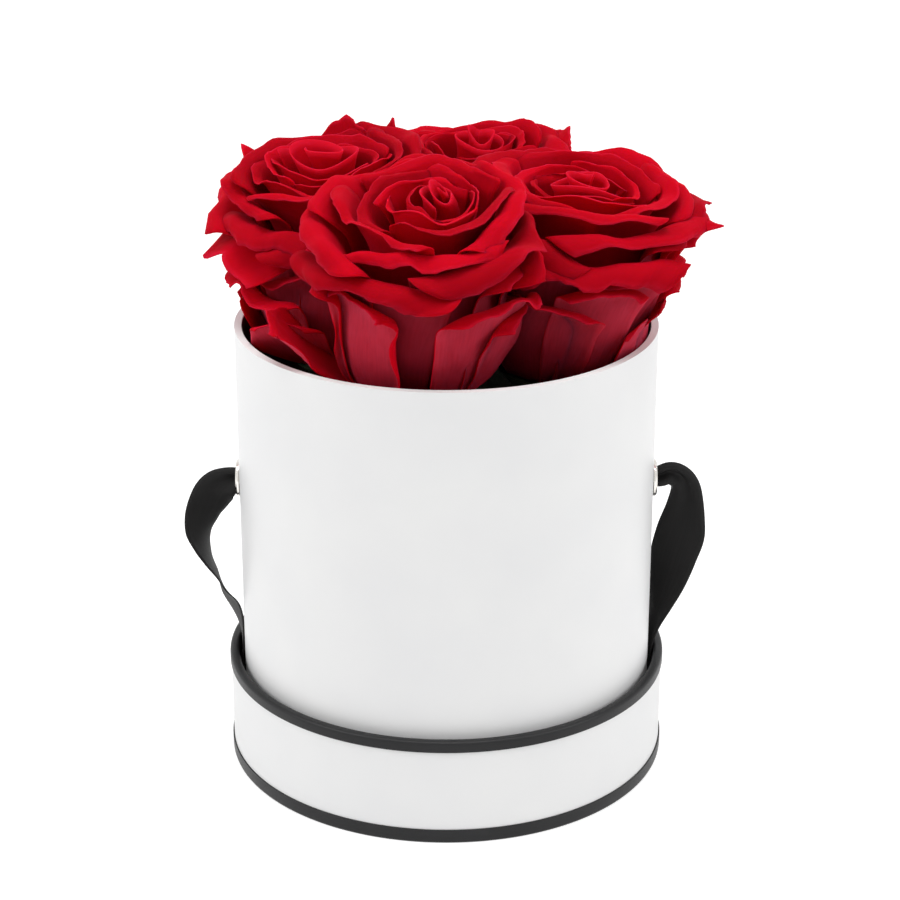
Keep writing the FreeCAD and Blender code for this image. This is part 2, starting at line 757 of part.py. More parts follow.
foam_body = doc.addObject("Part::Cylinder", "FoamBody")
bind(foam_body, Radius=foam_radius, Height=foam_height, Placement__Base__z=box_floor)
channels = []
for side_name, side in SIDES:
    start = channel_inner if side > 0 else -(channel_inner + foam_radius)
    channels.append(
        block(
            "KnotChannel",
            foam_radius,
            channel_half * 2,
            foam_height + size["foam_gap"] * 2,
            (start, -channel_half, box_floor - size["foam_gap"]),
        )
    )
cuts = doc.addObject("Part::MultiFuse", "FoamCuts")
cuts.Shapes = channels + stem_holes
foam = doc.addObject("Part::Cut", "Foam")
foam.Base = foam_body
foam.Tool = cuts
node(foam, "foam_block")


doc.recompute()
for thing in doc.Objects:
    if {"Invalid", "Error"} & set(thing.State):
        raise RuntimeError(f"{thing.Label} failed to compute: {thing.State}")
os.makedirs("parts", exist_ok=True)
for thing in NODES:
    shape = thing.Shape
    if shape.isNull() or not shape.isValid() or not shape.Solids:
        raise RuntimeError(f"{thing.Label} has no valid solid")
for thing in NODES:
    thing.Shape.exportStep(os.path.join("parts", f"{thing.Label}.step"))
    print(f"{thing.Label:28s} {len(thing.Shape.Solids):3d} solids {thing.Shape.Volume:12.2f} mm3")
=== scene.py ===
import math
from typing import NamedTuple

import bpy
import numpy as np
from mathutils import Matrix, Vector, noise


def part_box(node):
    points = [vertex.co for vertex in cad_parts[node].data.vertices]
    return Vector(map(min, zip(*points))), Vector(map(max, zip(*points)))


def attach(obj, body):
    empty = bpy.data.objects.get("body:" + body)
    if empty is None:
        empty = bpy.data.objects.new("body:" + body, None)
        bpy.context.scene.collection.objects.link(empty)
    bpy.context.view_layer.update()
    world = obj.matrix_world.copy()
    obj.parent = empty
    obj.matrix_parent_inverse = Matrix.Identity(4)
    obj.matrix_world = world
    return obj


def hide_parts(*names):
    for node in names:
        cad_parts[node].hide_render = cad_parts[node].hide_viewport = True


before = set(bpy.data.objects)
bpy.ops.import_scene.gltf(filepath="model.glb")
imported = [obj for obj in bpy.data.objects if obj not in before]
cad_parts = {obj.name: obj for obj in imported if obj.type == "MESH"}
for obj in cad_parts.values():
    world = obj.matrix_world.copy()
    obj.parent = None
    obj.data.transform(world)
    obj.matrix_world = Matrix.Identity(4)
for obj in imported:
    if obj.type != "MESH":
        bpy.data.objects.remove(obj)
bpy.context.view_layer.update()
bpy.context.scene.view_settings.view_transform = "Standard"


# Tray: the box's lid, turned over. A rolled greyboard ring with a board floor glued in,
# covered inside and out with white coated paper, so that no board shows.
MM = 0.001  # metres


def new_material(name, colour, roughness):
    """A material with one Principled shader, and its node tree."""
    material = bpy.data.materials.new(name)
    material.use_nodes = True
    tree = material.node_tree
    shader = tree.nodes["Principled BSDF"]
    shader.inputs["Base Color"].default_value = (*colour, 1.0)
    shader.inputs["Roughness"].default_value = roughness
    return material, tree, shader


def grain(tree, scale, detail=4.0, stretch=(1.0, 1.0, 1.0), source="Object"):
    """Noise at a scale in features per metre, or per petal for UV, drawn out along an axis."""
    place = tree.nodes.new("ShaderNodeTexCoord")
    pull = tree.nodes.new("ShaderNodeMapping")
    pull.inputs["Scale"].default_value = stretch
    texture = tree.nodes.new("ShaderNodeTexNoise")
    texture.inputs["Scale"].default_value = scale
    texture.inputs["Detail"].default_value = detail
    tree.links.new(place.outputs[source], pull.inputs["Vector"])
    tree.links.new(pull.outputs["Vector"], texture.inputs["Vector"])
    return texture.outputs["Fac"]


def ramp(tree, factor, low, high, start=0.3, end=0.7):
    """A colour that runs from low to high as the factor goes from start to end."""
    node = tree.nodes.new("ShaderNodeValToRGB")
    node.color_ramp.elements[0].position = start
    node.color_ramp.elements[0].color = (*low, 1.0)
    node.color_ramp.elements[1].position = end
    node.color_ramp.elements[1].color = (*high, 1.0)
    tree.links.new(factor, node.inputs["Fac"])
    return node.outputs["Color"]


def span(tree, factor, low, high, start=0.3, end=0.7):
    """A number that runs from low to high as the factor goes from start to end."""
    node = tree.nodes.new("ShaderNodeMapRange")
    node.inputs["From Min"].default_value = start
    node.inputs["From Max"].default_value = end
    node.inputs["To Min"].default_value = low
    node.inputs["To Max"].default_value = high
    tree.links.new(factor, node.inputs["Value"])
    return node.outputs["Result"]


def relief(tree, shader, factor, depth, strength=1.0):
    """Bumps the shader's surface by the factor, at a depth in metres."""
    node = tree.nodes.new("ShaderNodeBump")
    node.inputs["Strength"].default_value = strength
    node.inputs["Distance"].default_value = depth
    tree.links.new(factor, node.inputs["Height"])
    tree.links.new(node.outputs["Normal"], shader.inputs["Normal"])
    return node


def wear(name, material):
    """Gives a CAD node its finish."""
    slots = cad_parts[name].data.materials
    slots.clear()
    slots.append(material)


def greyboard_finish():
    """Raw grey card with coarse fibres."""
    material, tree, shader = new_material("greyboard", (0.42, 0.39, 0.35), roughness=0.9)
    fibre = grain(tree, scale=900.0, detail=6.0)
    colour = ramp(tree, fibre, low=(0.36, 0.33, 0.29), high=(0.48, 0.45, 0.41))
    tree.links.new(colour, shader.inputs["Base Color"])
    relief(tree, shader, fibre, depth=0.05 * MM)
    return material


def white_paper_finish():
    """White coated paper with a faint cloud and a fine tooth."""
    material, tree, shader = new_material("white_paper", (0.82, 0.82, 0.82), roughness=0.42)
    cloud = grain(tree, scale=45.0, detail=2.0)
    fibre = grain(tree, scale=1800.0, detail=5.0)
    colour = ramp(tree, cloud, low=(0.805, 0.806, 0.81), high=(0.83, 0.83, 0.828))
    tree.links.new(colour, shader.inputs["Base Color"])
    tree.links.new(span(tree, fibre, low=0.36, high=0.48), shader.inputs["Roughness"])
    relief(tree, shader, fibre, depth=0.012 * MM, strength=0.6)
    return material


greyboard = greyboard_finish()
white_paper = white_paper_finish()
for board in ("tray_wall_board", "tray_floor_board"):
    wear(board, greyboard)
for sheet_name in ("tray_side_wrap", "tray_liner", "tray_floor_liner", "tray_base_paper"):
    wear(sheet_name, white_paper)


# Tray bindings: black paper tape round the rim and the foot of the tray. It is folded
# over the board edge and glued down on both sides, so its edges are softly rounded.
def turned_mesh(name, outline, segments):
    """A closed ring about Z from a closed (radius, height) outline in metres."""
    count = len(outline)
    points = []
    faces = []
    for turn in range(segments):
        angle = 2 * math.pi * turn / segments
        for radius, height in outline:
            points.append((radius * math.cos(angle), radius * math.sin(angle), height))
    for turn in range(segments):
        here = turn * count
        following = (turn + 1) % segments * count
        for at in range(count):
            beside = (at + 1) % count
            faces.append((here + at, following + at, following + beside, here + beside))
    mesh = bpy.data.meshes.new(name)
    mesh.from_pydata(points, [], faces)
    mesh.polygons.foreach_set("use_smooth", [True] * len(faces))
    mesh.update()
    piece = bpy.data.objects.new(name, mesh)
    bpy.context.scene.collection.objects.link(piece)
    return piece


def rounded(corners, steps=5):
    """An outline from (radius, height, rounding) corners, each rounded by an arc of steps."""
    outline = []
    count = len(corners)
    for at, (x, y, rounding) in enumerate(corners):
        corner = Vector((x, y))
        before = Vector(corners[at - 1][:2]) - corner
        after = Vector(corners[(at + 1) % count][:2]) - corner
        if rounding == 0.0:
            outline.append((x, y))
            continue
        start = corner + before.normalized() * rounding
        end = corner + after.normalized() * rounding
        for step in range(steps + 1):
            share = step / steps
            point = start.lerp(corner, share).lerp(corner.lerp(end, share), share)
            outline.append((point.x, point.y))
    return outline


RING_SEGMENTS = 192
FOLD_ROUND = 0.9 * MM  # where the tape folds over the board
CUT_ROUND = 0.1 * MM  # along the tape's cut edges
TAPE_LIFT = 0.12 * MM  # of the tape's outer face off its plain solid
TAPE_ON_EDGE = 0.6 * MM  # depth of tape and glue over the board's edge
TAPE_INSIDE = 0.25 * MM
TAPE_BELOW = 0.24 * MM
RIM_BAND = 2.9 * MM  # height of the rim binding on the outer side
RIM_INNER = 56.5 * MM  # radius of the rim binding's inner face


def black_binding_finish():
    """Black paper tape with a fine tooth."""
    material, tree, shader = new_material("black_binding", (0.012, 0.012, 0.013), roughness=0.42)
    shader.inputs["Specular IOR Level"].default_value = 0.25
    cloud = grain(tree, scale=60.0, detail=3.0)
    tooth = grain(tree, scale=2600.0, detail=4.0)
    colour = ramp(tree, cloud, low=(0.009, 0.009, 0.0095), high=(0.014, 0.014, 0.015))
    tree.links.new(colour, shader.inputs["Base Color"])
    tree.links.new(span(tree, tooth, low=0.34, high=0.5), shader.inputs["Roughness"])
    relief(tree, shader, tooth, depth=0.02 * MM, strength=0.5)
    return material


black_binding = black_binding_finish()
rim_low, rim_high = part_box("tray_rim_binding")
wrap_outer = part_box("tray_side_wrap")[1][0]
paper_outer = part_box("tray_base_paper")[1][0]
foot_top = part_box("tray_foot_binding")[1][2]
tape_outer = rim_high[0] + TAPE_LIFT
tray_rim = rim_high[2]
turn_in_end = rim_low[2]
rim_binding = turned_mesh(
    "rim_binding",
    rounded(
        [
            (wrap_outer, tray_rim - RIM_BAND, 0.0),
            (tape_outer, tray_rim - RIM_BAND, CUT_ROUND),
            (tape_outer, tray_rim, FOLD_ROUND),
            (RIM_INNER, tray_rim, FOLD_ROUND),
            (RIM_INNER, turn_in_end, CUT_ROUND),
            (RIM_INNER + TAPE_INSIDE, turn_in_end, 0.0),
            (RIM_INNER + TAPE_INSIDE, tray_rim - TAPE_ON_EDGE, 0.0),
            (wrap_outer, tray_rim - TAPE_ON_EDGE, 0.0),
        ]
    ),
    RING_SEGMENTS,
)
foot_binding = turned_mesh(
    "foot_binding",
    rounded(
        [
            (paper_outer, 0.0, 0.0),
            (tape_outer, 0.0, FOLD_ROUND),
            (tape_outer, foot_top, CUT_ROUND),
            (wrap_outer, foot_top, 0.0),
            (wrap_outer, TAPE_ON_EDGE, 0.0),
            (wrap_outer - TAPE_ON_EDGE, TAPE_BELOW, 0.0),
            (paper_outer, TAPE_BELOW, 0.0),
        ]
    ),
    RING_SEGMENTS,
)
for piece, node_name in ((rim_binding, "tray_rim_binding"), (foot_binding, "tray_foot_binding")):
    piece.data.materials.append(black_binding)
    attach(piece, "tray")
    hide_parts(node_name)


# Box: a rolled greyboard tube with a board base. White coated paper wraps it and folds
# over the rim, and a white disc closes the underside. The near-black lining inside paints
# the shade that falls into the box between the roses.
def painted_shade_lining_finish():
    """Uncoated near-black paper, dark so that it paints the shade inside the box."""
    material, tree, shader = new_material("dark_lining", (0.02, 0.018, 0.018), roughness=0.85)
    fibre = grain(tree, scale=1200.0, detail=5.0)
    colour = ramp(tree, fibre, low=(0.014, 0.012, 0.012), high=(0.026, 0.023, 0.023))
    tree.links.new(colour, shader.inputs["Base Color"])
    relief(tree, shader, fibre, depth=0.03 * MM)
    return material


dark_lining = painted_shade_lining_finish()
for board in ("box_wall_board", "box_base_board"):
    wear(board, greyboard)
for sheet_name in ("box_side_wrap", "box_base_paper"):
    wear(sheet_name, white_paper)
# the liner's near-black is painted shade for the inside of the box
for sheet_name in ("box_liner", "box_floor_liner"):
    wear(sheet_name, dark_lining)


# Eyelets: two drawn sheet-metal eyelets, nickel plated, pressed through the wall and
# rolled over a washer on the inside.
def nickel_finish():
    """Bright warm plating with light scuffs."""
    material, tree, shader = new_material("nickel", (0.76, 0.74, 0.70), roughness=0.2)
    shader.inputs["Metallic"].default_value = 1.0
    scuff = grain(tree, scale=700.0, detail=5.0)
    colour = ramp(tree, scuff, low=(0.70, 0.67, 0.62), high=(0.80, 0.78, 0.75))
    tree.links.new(colour, shader.inputs["Base Color"])
    tree.links.new(span(tree, scuff, low=0.14, high=0.3), shader.inputs["Roughness"])
    return material


nickel = nickel_finish()
for side_name in ("left", "right"):
    wear(f"{side_name}_eyelet", nickel)
    wear(f"{side_name}_eyelet_washer", nickel)


# Ribbon handle: one black satin ribbon, knotted inside both eyelets. Its middle is
# tucked down beside the box and lies flat under it, so each side bows out as a loop.
RIBBON_WIDTH = 13.5 * MM
RIBBON_DEPTH = 0.3 * MM
RIBBON_ACROSS = 10  # faces across the ribbon
RIBBON_STEPS = 7  # rows of mesh between two points of the route
FOLD_DEPTH = 1.3  # millimetres, where the ribbon is gathered most
FOLD_WAVES = 1.5  # half waves across the gathered ribbon

# Route in millimetres: place, direction across the ribbon, share of its width, depth of folds
RIBBON_ROUTE = (
    ((-50.5, 0.0, 76.9), (0.0, 0.0, 1.0), 0.34, 1.0),
    ((-54.0, 0.0, 76.9), (0.0, 0.0, 1.0), 0.36, 1.0),
    ((-56.6, 0.0, 76.8), (-0.05, 0.0, 1.0), 0.46, 0.85),
    ((-58.7, -0.2, 75.9), (-0.17, -0.09, 0.98), 0.66, 0.5),
    ((-61.2, -0.1, 74.0), (-0.48, -0.21, 0.85), 0.80, 0.3),
    ((-63.4, 0.3, 70.4), (-0.46, -0.44, 0.77), 0.90, 0.1),
    ((-65.3, 0.5, 66.0), (-0.44, -0.63, 0.62), 0.97, 0.0),
    ((-66.0, 0.4, 61.8), (-0.38, -0.70, 0.59), 1.0, 0.0),
    ((-65.5, 0.2, 57.8), (-0.28, -0.79, 0.54), 1.0, 0.0),
    ((-63.9, 0.2, 52.8), (-0.10, -0.90, 0.42), 1.0, 0.0),
    ((-61.8, 0.2, 48.3), (0.04, -0.93, 0.37), 1.0, 0.0),
    ((-60.4, 0.1, 44.8), (0.16, -0.92, 0.36), 1.0, 0.0),
    ((-58.3, 0.1, 40.6), (0.32, -0.87, 0.34), 1.0, 0.0),
    ((-56.7, 0.2, 35.0), (0.22, -0.92, 0.26), 1.0, 0.0),
    ((-55.6, 0.2, 29.0), (0.05, -1.0, 0.10), 1.0, 0.0),
    ((-55.35, 0.1, 22.0), (0.0, -1.0, 0.0), 1.0, 0.0),
    ((-55.35, 0.0, 10.0), (0.0, -1.0, 0.0), 1.0, 0.0),
    ((-55.25, 0.0, 3.4), (0.0, -1.0, 0.0), 1.0, 0.0),
    ((-54.0, 0.0, 2.66), (0.0, -1.0, 0.0), 1.0, 0.0),
    ((-30.0, 0.0, 2.65), (0.0, -1.0, 0.0), 1.0, 0.0),
    ((0.0, 0.0, 2.65), (0.0, -1.0, 0.0), 1.0, 0.0),
    ((30.0, 0.0, 2.65), (0.0, -1.0, 0.0), 1.0, 0.0),
    ((54.0, 0.0, 2.66), (0.0, -1.0, 0.0), 1.0, 0.0),
    ((55.25, 0.1, 3.4), (0.0, -1.0, 0.0), 1.0, 0.0),
    ((55.35, 0.6, 10.0), (0.0, -1.0, 0.0), 1.0, 0.0),
    ((55.35, 1.6, 22.0), (0.03, -1.0, 0.0), 1.0, 0.0),
    ((55.6, 2.4, 28.5), (0.06, -1.0, 0.05), 1.0, 0.0),
    ((56.6, 2.8, 33.0), (0.12, -0.98, 0.10), 1.0, 0.0),
    ((58.2, 3.6, 38.5), (0.34, -0.94, 0.03), 1.0, 0.0),
    ((60.2, 4.4, 45.8), (0.66, -0.75, -0.05), 1.0, 0.0),
    ((61.9, 4.6, 53.0), (0.86, -0.50, -0.09), 1.0, 0.0),
    ((63.6, 3.8, 59.8), (0.90, -0.42, -0.10), 1.0, 0.0),
    ((64.4, 2.4, 66.6), (0.86, -0.50, -0.01), 0.84, 0.25),
    ((64.4, 1.2, 72.6), (0.82, -0.54, 0.21), 0.68, 0.5),
    ((63.2, 0.5, 75.9), (0.73, -0.41, 0.55), 0.60, 0.7),
    ((61.4, 0.2, 77.6), (0.51, -0.22, 0.83), 0.54, 0.8),
    ((59.3, 0.1, 78.2), (0.26, -0.11, 0.96), 0.49, 0.9),
    ((57.0, 0.0, 77.4), (0.05, 0.0, 1.0), 0.44, 1.0),
    ((54.0, 0.0, 76.9), (0.0, 0.0, 1.0), 0.36, 1.0),
    ((50.5, 0.0, 76.9), (0.0, 0.0, 1.0), 0.34, 1.0),
)


def smooth_route(rows, steps):
    """Points on a Catmull-Rom curve through the rows, which may hold any numbers."""
    rows = np.asarray(rows, dtype=float)
    padded = np.vstack([2 * rows[0] - rows[1], rows, 2 * rows[-1] - rows[-2]])
    out = []
    for at in range(1, len(padded) - 2):
        a, b, c, d = padded[at - 1 : at + 3]
        for step in range(steps):
            t = step / steps
            out.append(
                0.5
                * (
                    2 * b
                    + (c - a) * t
                    + (2 * a - 5 * b + 4 * c - d) * t**2
                    + (3 * b - a - 3 * c + d) * t**3
                )
            )
    out.append(rows[-1])
    return np.array(out)


def unit(rows):
    """Each row as a vector of length 1."""
    return rows / np.linalg.norm(rows, axis=-1, keepdims=True)


def sheet_normals(grid):
    """Normals of a grid of points, by its rows and columns."""
    return unit(np.cross(np.gradient(grid, axis=1), np.gradient(grid, axis=0)))


class SheetMesh:
    """Gathers thin closed sheets into one mesh, with a UV map and one material per side."""

    def __init__(self):
        self.points = []
        self.faces = []
        self.sides = []
        self.uvs = []
        self.tones = []

    def add(self, grid, thickness, tone=0.5):
        """Adds a sheet of a thickness along a grid of points, in metres, with a tone from 0 to 1."""
        tall, wide = grid.shape[:2]
        half = sheet_normals(grid) * thickness / 2
        first = len(self.points)
        for layer in (grid + half, grid - half):
            self.points.extend(map(tuple, layer.reshape(-1, 3)))
        self.tones.extend([tone] * (2 * tall * wide))
        across, along = np.meshgrid(np.linspace(0, 1, wide), np.linspace(0, 1, tall))
        uv = list(zip(across.ravel(), along.ravel())) * 2

        def corner(row, column, layer):
            return first + layer * tall * wide + row * wide + column

        def face(corners, side):
            self.faces.append(corners)
            self.sides.append(side)
            self.uvs.extend(uv[c - first] for c in corners)

        for r in range(tall - 1):
            for c in range(wide - 1):
                square = ((r, c), (r, c + 1), (r + 1, c + 1), (r + 1, c))
                face([corner(*at, 0) for at in square], 1)
                face([corner(*at, 1) for at in reversed(square)], 0)
        rim = [(0, c) for c in range(wide)]
        rim += [(r, wide - 1) for r in range(1, tall)]
        rim += [(tall - 1, c) for c in range(wide - 2, -1, -1)]
        rim += [(r, 0) for r in range(tall - 2, 0, -1)]
        for a, b in zip(rim, rim[1:] + rim[:1]):
            face([corner(*b, 0), corner(*a, 0), corner(*a, 1), corner(*b, 1)], 0)

    def piece(self, name, materials):
        """The object made of all sheets, given the materials of their inner and outer sides."""
        mesh = bpy.data.meshes.new(name)
        mesh.from_pydata(self.points, [], self.faces)
        for material in materials:
            mesh.materials.append(material)
        mesh.polygons.foreach_set("material_index", self.sides)
        mesh.polygons.foreach_set("use_smooth", [True] * len(self.faces))
        layer = mesh.uv_layers.new(name="UVMap")
        layer.data.foreach_set("uv", np.array(self.uvs, dtype=np.float32).ravel())
        tone = mesh.attributes.new("tone", "FLOAT", "POINT")
        tone.data.foreach_set("value", np.array(self.tones, dtype=np.float32))
        mesh.update()
        made = bpy.data.objects.new(name, mesh)
        bpy.context.scene.collection.objects.link(made)
        return made


def satin_finish():
    """Black satin: fine threads along the ribbon, and picks across it."""
    material, tree, shader = new_material("satin_ribbon", (0.012, 0.0115, 0.0115), roughness=0.6)
    shader.inputs["Specular IOR Level"].default_value = 0.16
    shader.inputs["Sheen Weight"].default_value = 0.03
    shader.inputs["Sheen Roughness"].default_value = 0.4
    threads = grain(tree, scale=120.0, detail=2.0, stretch=(1.0, 0.02, 1.0), source="UV")
    picks = grain(tree, scale=900.0, detail=2.0, stretch=(0.05, 1.0, 1.0), source="UV")
    colour = ramp(tree, threads, low=(0.009, 0.0087, 0.0087), high=(0.016, 0.0153, 0.0153))
    tree.links.new(colour, shader.inputs["Base Color"])
    tree.links.new(span(tree, picks, low=0.52, high=0.68), shader.inputs["Roughness"])
    relief(tree, shader, threads, depth=0.02 * MM, strength=0.6)
    return material


satin = satin_finish()
route = smooth_route(
    [(*place, *across, width, folds) for place, across, width, folds in RIBBON_ROUTE],
    RIBBON_STEPS,
)
places, across, widths, folds = np.split(route, (3, 6, 7), axis=1)
along = unit(np.gradient(places, axis=0))
across = across - along * np.sum(across * along, axis=1, keepdims=True)
across = unit(across)
facing = np.cross(along, across)
spread = np.linspace(-1, 1, RIBBON_ACROSS + 1)
half_width = RIBBON_WIDTH / MM / 2 * widths
fold = FOLD_DEPTH * folds
ribbon_grid = (
    places[:, None, :]
    + across[:, None, :] * (half_width * spread)[..., None]
    + facing[:, None, :] * (fold * np.cos(math.pi * FOLD_WAVES * spread))[..., None]
)
ribbon_sheet = SheetMesh()
ribbon_sheet.add(ribbon_grid * MM, RIBBON_DEPTH)
ribbon = ribbon_sheet.piece("satin_ribbon", [satin, satin])
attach(ribbon, "box")
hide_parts("ribbon_left_loop", "ribbon_right_loop", "ribbon_under_box")


# Knots: each end of the ribbon is tied in an overhand knot behind its washer, and a
# short tail hangs down beside the foam.
KNOT_TURNS = 2.0
KNOT_STEPS = 60
KNOT_RADIUS = 2.6 * MM
KNOT_REACH = 0.9 * MM  # of the turns to each side of their middle, along the eyelet's axis
KNOT_DEPTH = 0.6 * MM  # of the gathered ribbon
TURN_HALF_WIDTH = 1.5 * MM
TAIL_HALF_WIDTH = 4.0 * MM
TAIL_STEPS = 8
TAIL_SWAY = 0.8 * MM
TAIL_WAVE = 0.5  # radians of sway for each step
KNOT_POINTS_ACROSS = 5
for side_name, side in (("left", -1.0), ("right", 1.0)):
    low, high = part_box(f"{side_name}_ribbon_knot")
    washer_low, washer_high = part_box(f"{side_name}_eyelet_washer")
    eye = (washer_low[2] + washer_high[2]) / 2
    middle = (low[0] + high[0]) / 2
    tied = []
    for step in range(KNOT_STEPS + 1):
        share = step / KNOT_STEPS
        angle = 2 * math.pi * KNOT_TURNS * share
        tied.append(
            (
                middle + side * KNOT_REACH * (1 - 2 * share),
                KNOT_RADIUS * math.sin(angle),
                eye + KNOT_RADIUS * math.cos(angle),
            )
        )
    tail_top = tied[-1][2]
    for step in range(1, TAIL_STEPS + 1):
        tied.append(
            (
                middle - side * KNOT_REACH,
                math.sin(step * TAIL_WAVE) * TAIL_SWAY,
                tail_top - (tail_top - low[2]) * step / TAIL_STEPS,
            )
        )
    tied = np.array(tied)
    lead = unit(np.gradient(tied, axis=0))
    wide = np.tile(np.array([side, 0.0, 0.0]), (len(tied), 1))
    wide[KNOT_STEPS:] = (0.0, 1.0, 0.0)
    wide = unit(wide - lead * np.sum(wide * lead, axis=1, keepdims=True))
    half = np.where(np.arange(len(tied)) < KNOT_STEPS, TURN_HALF_WIDTH, TAIL_HALF_WIDTH)
    offsets = half[:, None] * np.linspace(-1, 1, KNOT_POINTS_ACROSS)
    grid = tied[:, None, :] + wide[:, None, :] * offsets[..., None]
    knot_sheet = SheetMesh()
    knot_sheet.add(grid, KNOT_DEPTH)
    knot = knot_sheet.piece(f"{side_name}_knot", [satin, satin])
    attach(knot, "box")
    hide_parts(f"{side_name}_ribbon_knot")


# Foam: a dark dry-foam block that fills the box to below the rim. The stems are pushed
# into it, and its cut face is open and crumbly.
def foam_finish():
    """Very dark green foam with open pores."""
    material, tree, shader = new_material("dry_foam", (0.02, 0.03, 0.016), roughness=0.95)
    pores = grain(tree, scale=1400.0, detail=5.0)
    colour = ramp(tree, pores, low=(0.008, 0.012, 0.006), high=(0.03, 0.042, 0.022))
    tree.links.new(colour, shader.inputs["Base Color"])
    relief(tree, shader, pores, depth=0.3 * MM)
    return material


wear("foam_block", foam_finish())


# Stems and calyxes: the rose's own green stub and hip, shortened and glycerine-dried,
# pushed into the foam. They sit below the rim and only show between the petals.
def green_finish(name, low, high):
    """Dried green, streaked along the stem from low to high."""
    material, tree, shader = new_material(name, low, roughness=0.7)
    streak = grain(tree, scale=260.0, detail=4.0, stretch=(1.0, 1.0, 0.2))
    tree.links.new(ramp(tree, streak, low, high), shader.inputs["Base Color"])
    relief(tree, shader, streak, depth=0.1 * MM)
    return material


stem_green = green_finish("stem_green", low=(0.05, 0.08, 0.02), high=(0.12, 0.17, 0.05))
calyx_green = green_finish("calyx_green", low=(0.012, 0.02, 0.006), high=(0.035, 0.05, 0.016))
ROSES = ("right", "back", "left", "front")
for rose in ROSES:
    wear(f"{rose}_rose_stem", stem_green)
    wear(f"{rose}_rose_calyx", calyx_green)


# Rose petals: preserved red petals, velvety on the inner face and paler and veined on
# the underside. They grow in a spiral and roll outwards at the lip as the rose opens.
PETAL_DEPTH = 0.32 * MM
CLOUD_SHIFT = 0.3  # share of a petal's length by which a cloudy grain shifts its reds


def petal_finish(name, seat_painted_light_red, body_red, rim_painted_light_red, roughness, vein_strength):
    """Velvet red that turns from the seat's colour to the body's and then the rim's, with veins; the
    seat's and the rim's reds are painted light and shade.
    """
    material, tree, shader = new_material(name, body_red, roughness)
    shader.inputs["Specular IOR Level"].default_value = 0.03
    shader.inputs["Subsurface Weight"].default_value = 0.6
    shader.inputs["Subsurface Radius"].default_value = (1.0, 0.12, 0.12)
    shader.inputs["Subsurface Scale"].default_value = 2.0 * MM
    shader.inputs["Sheen Weight"].default_value = 0.12
    shader.inputs["Sheen Roughness"].default_value = 0.4
    shader.inputs["Sheen Tint"].default_value = (1.0, 0.06, 0.12, 1.0)
    veins = grain(tree, scale=44.0, detail=3.0, stretch=(1.0, 0.22, 1.0), source="UV")
    cloud = grain(tree, scale=130.0, detail=3.0)
    place = tree.nodes.new("ShaderNodeTexCoord")
    split = tree.nodes.new("ShaderNodeSeparateXYZ")
    tree.links.new(place.outputs["UV"], split.inputs["Vector"])
    up = split.outputs["Y"]
    clouded = tree.nodes.new("ShaderNodeMath")
    clouded.operation = "MULTIPLY_ADD"
    tree.links.new(cloud, clouded.inputs[0])
    clouded.inputs[1].default_value = CLOUD_SHIFT
    tree.links.new(up, clouded.inputs[2])
    # painted light and shade along the petal: the seat's red is set for the shade deep in the rose
    red = ramp(tree, clouded.outputs["Value"], seat_painted_light_red, body_red, start=0.25, end=0.75)
    # painted light and shade on the roll of the lip, where the rim's red takes over
    rim = ramp(tree, up, (0.0, 0.0, 0.0), (1.0, 1.0, 1.0), start=0.93, end=1.0)
    tint = tree.nodes.new("ShaderNodeMix")
    tint.data_type = "RGBA"
    tree.links.new(rim, tint.inputs["Factor"])
    tree.links.new(red, tint.inputs["A"])
    tint.inputs["B"].default_value = (*rim_painted_light_red, 1.0)
    tone = tree.nodes.new("ShaderNodeAttribute")
    tone.attribute_name = "tone"
    brightness = span(tree, tone.outputs["Fac"], low=0.76, high=1.18, start=0.0, end=1.0)
    shade = tree.nodes.new("ShaderNodeHueSaturation")
    tree.links.new(brightness, shade.inputs["Value"])
    tree.links.new(tint.outputs["Result"], shade.inputs["Color"])
    streak = tree.nodes.new("ShaderNodeMix")
    streak.data_type = "RGBA"
    streak.blend_type = "MULTIPLY"
    streak.inputs["Factor"].default_value = vein_strength
    vein_red = ramp(tree, veins, (0.6, 0.55, 0.55), (1.0, 1.0, 1.0), start=0.3, end=0.62)
    tree.links.new(shade.outputs["Color"], streak.inputs["A"])
    tree.links.new(vein_red, streak.inputs["B"])
    tree.links.new(streak.outputs["Result"], shader.inputs["Base Color"])
    relief(tree, shader, veins, depth=0.12 * MM, strength=0.5)
    return material


# Inner face: its seat is lighter than its body, a painted lift of the shade in the cups, and its
# lighter pink rim is a painted highlight on the rolled lips
petal_face = petal_finish(
    "petal_face",
    seat_painted_light_red=(0.48, 0.0006, 0.010),
    body_red=(0.41, 0.0005, 0.008),
    rim_painted_light_red=(0.49, 0.005, 0.022),
    roughness=0.75,
    vein_strength=0.12,
)
# Underside: paler than the face, as on a real petal, with its body red raised further to lift the
# shade on the undersides; its darker seat and rim are painted shade, low in the rose and under the
# rolled lip
petal_back = petal_finish(
    "petal_back",
    seat_painted_light_red=(0.31, 0.009, 0.022),
    body_red=(0.56, 0.034, 0.066),
    rim_painted_light_red=(0.50, 0.02, 0.046),
    roughness=0.85,
    vein_strength=0.35,
)

# Faces of a petal's mesh: across it, up to its crest and over its lip
PETAL_ACROSS = 22
PETAL_UP = 14
PETAL_LIP = 9
# Shares of a petal's height by which its curve runs on straight at the seat and the crest
SEAT_PULL = 0.45
CREST_PULL = 0.28
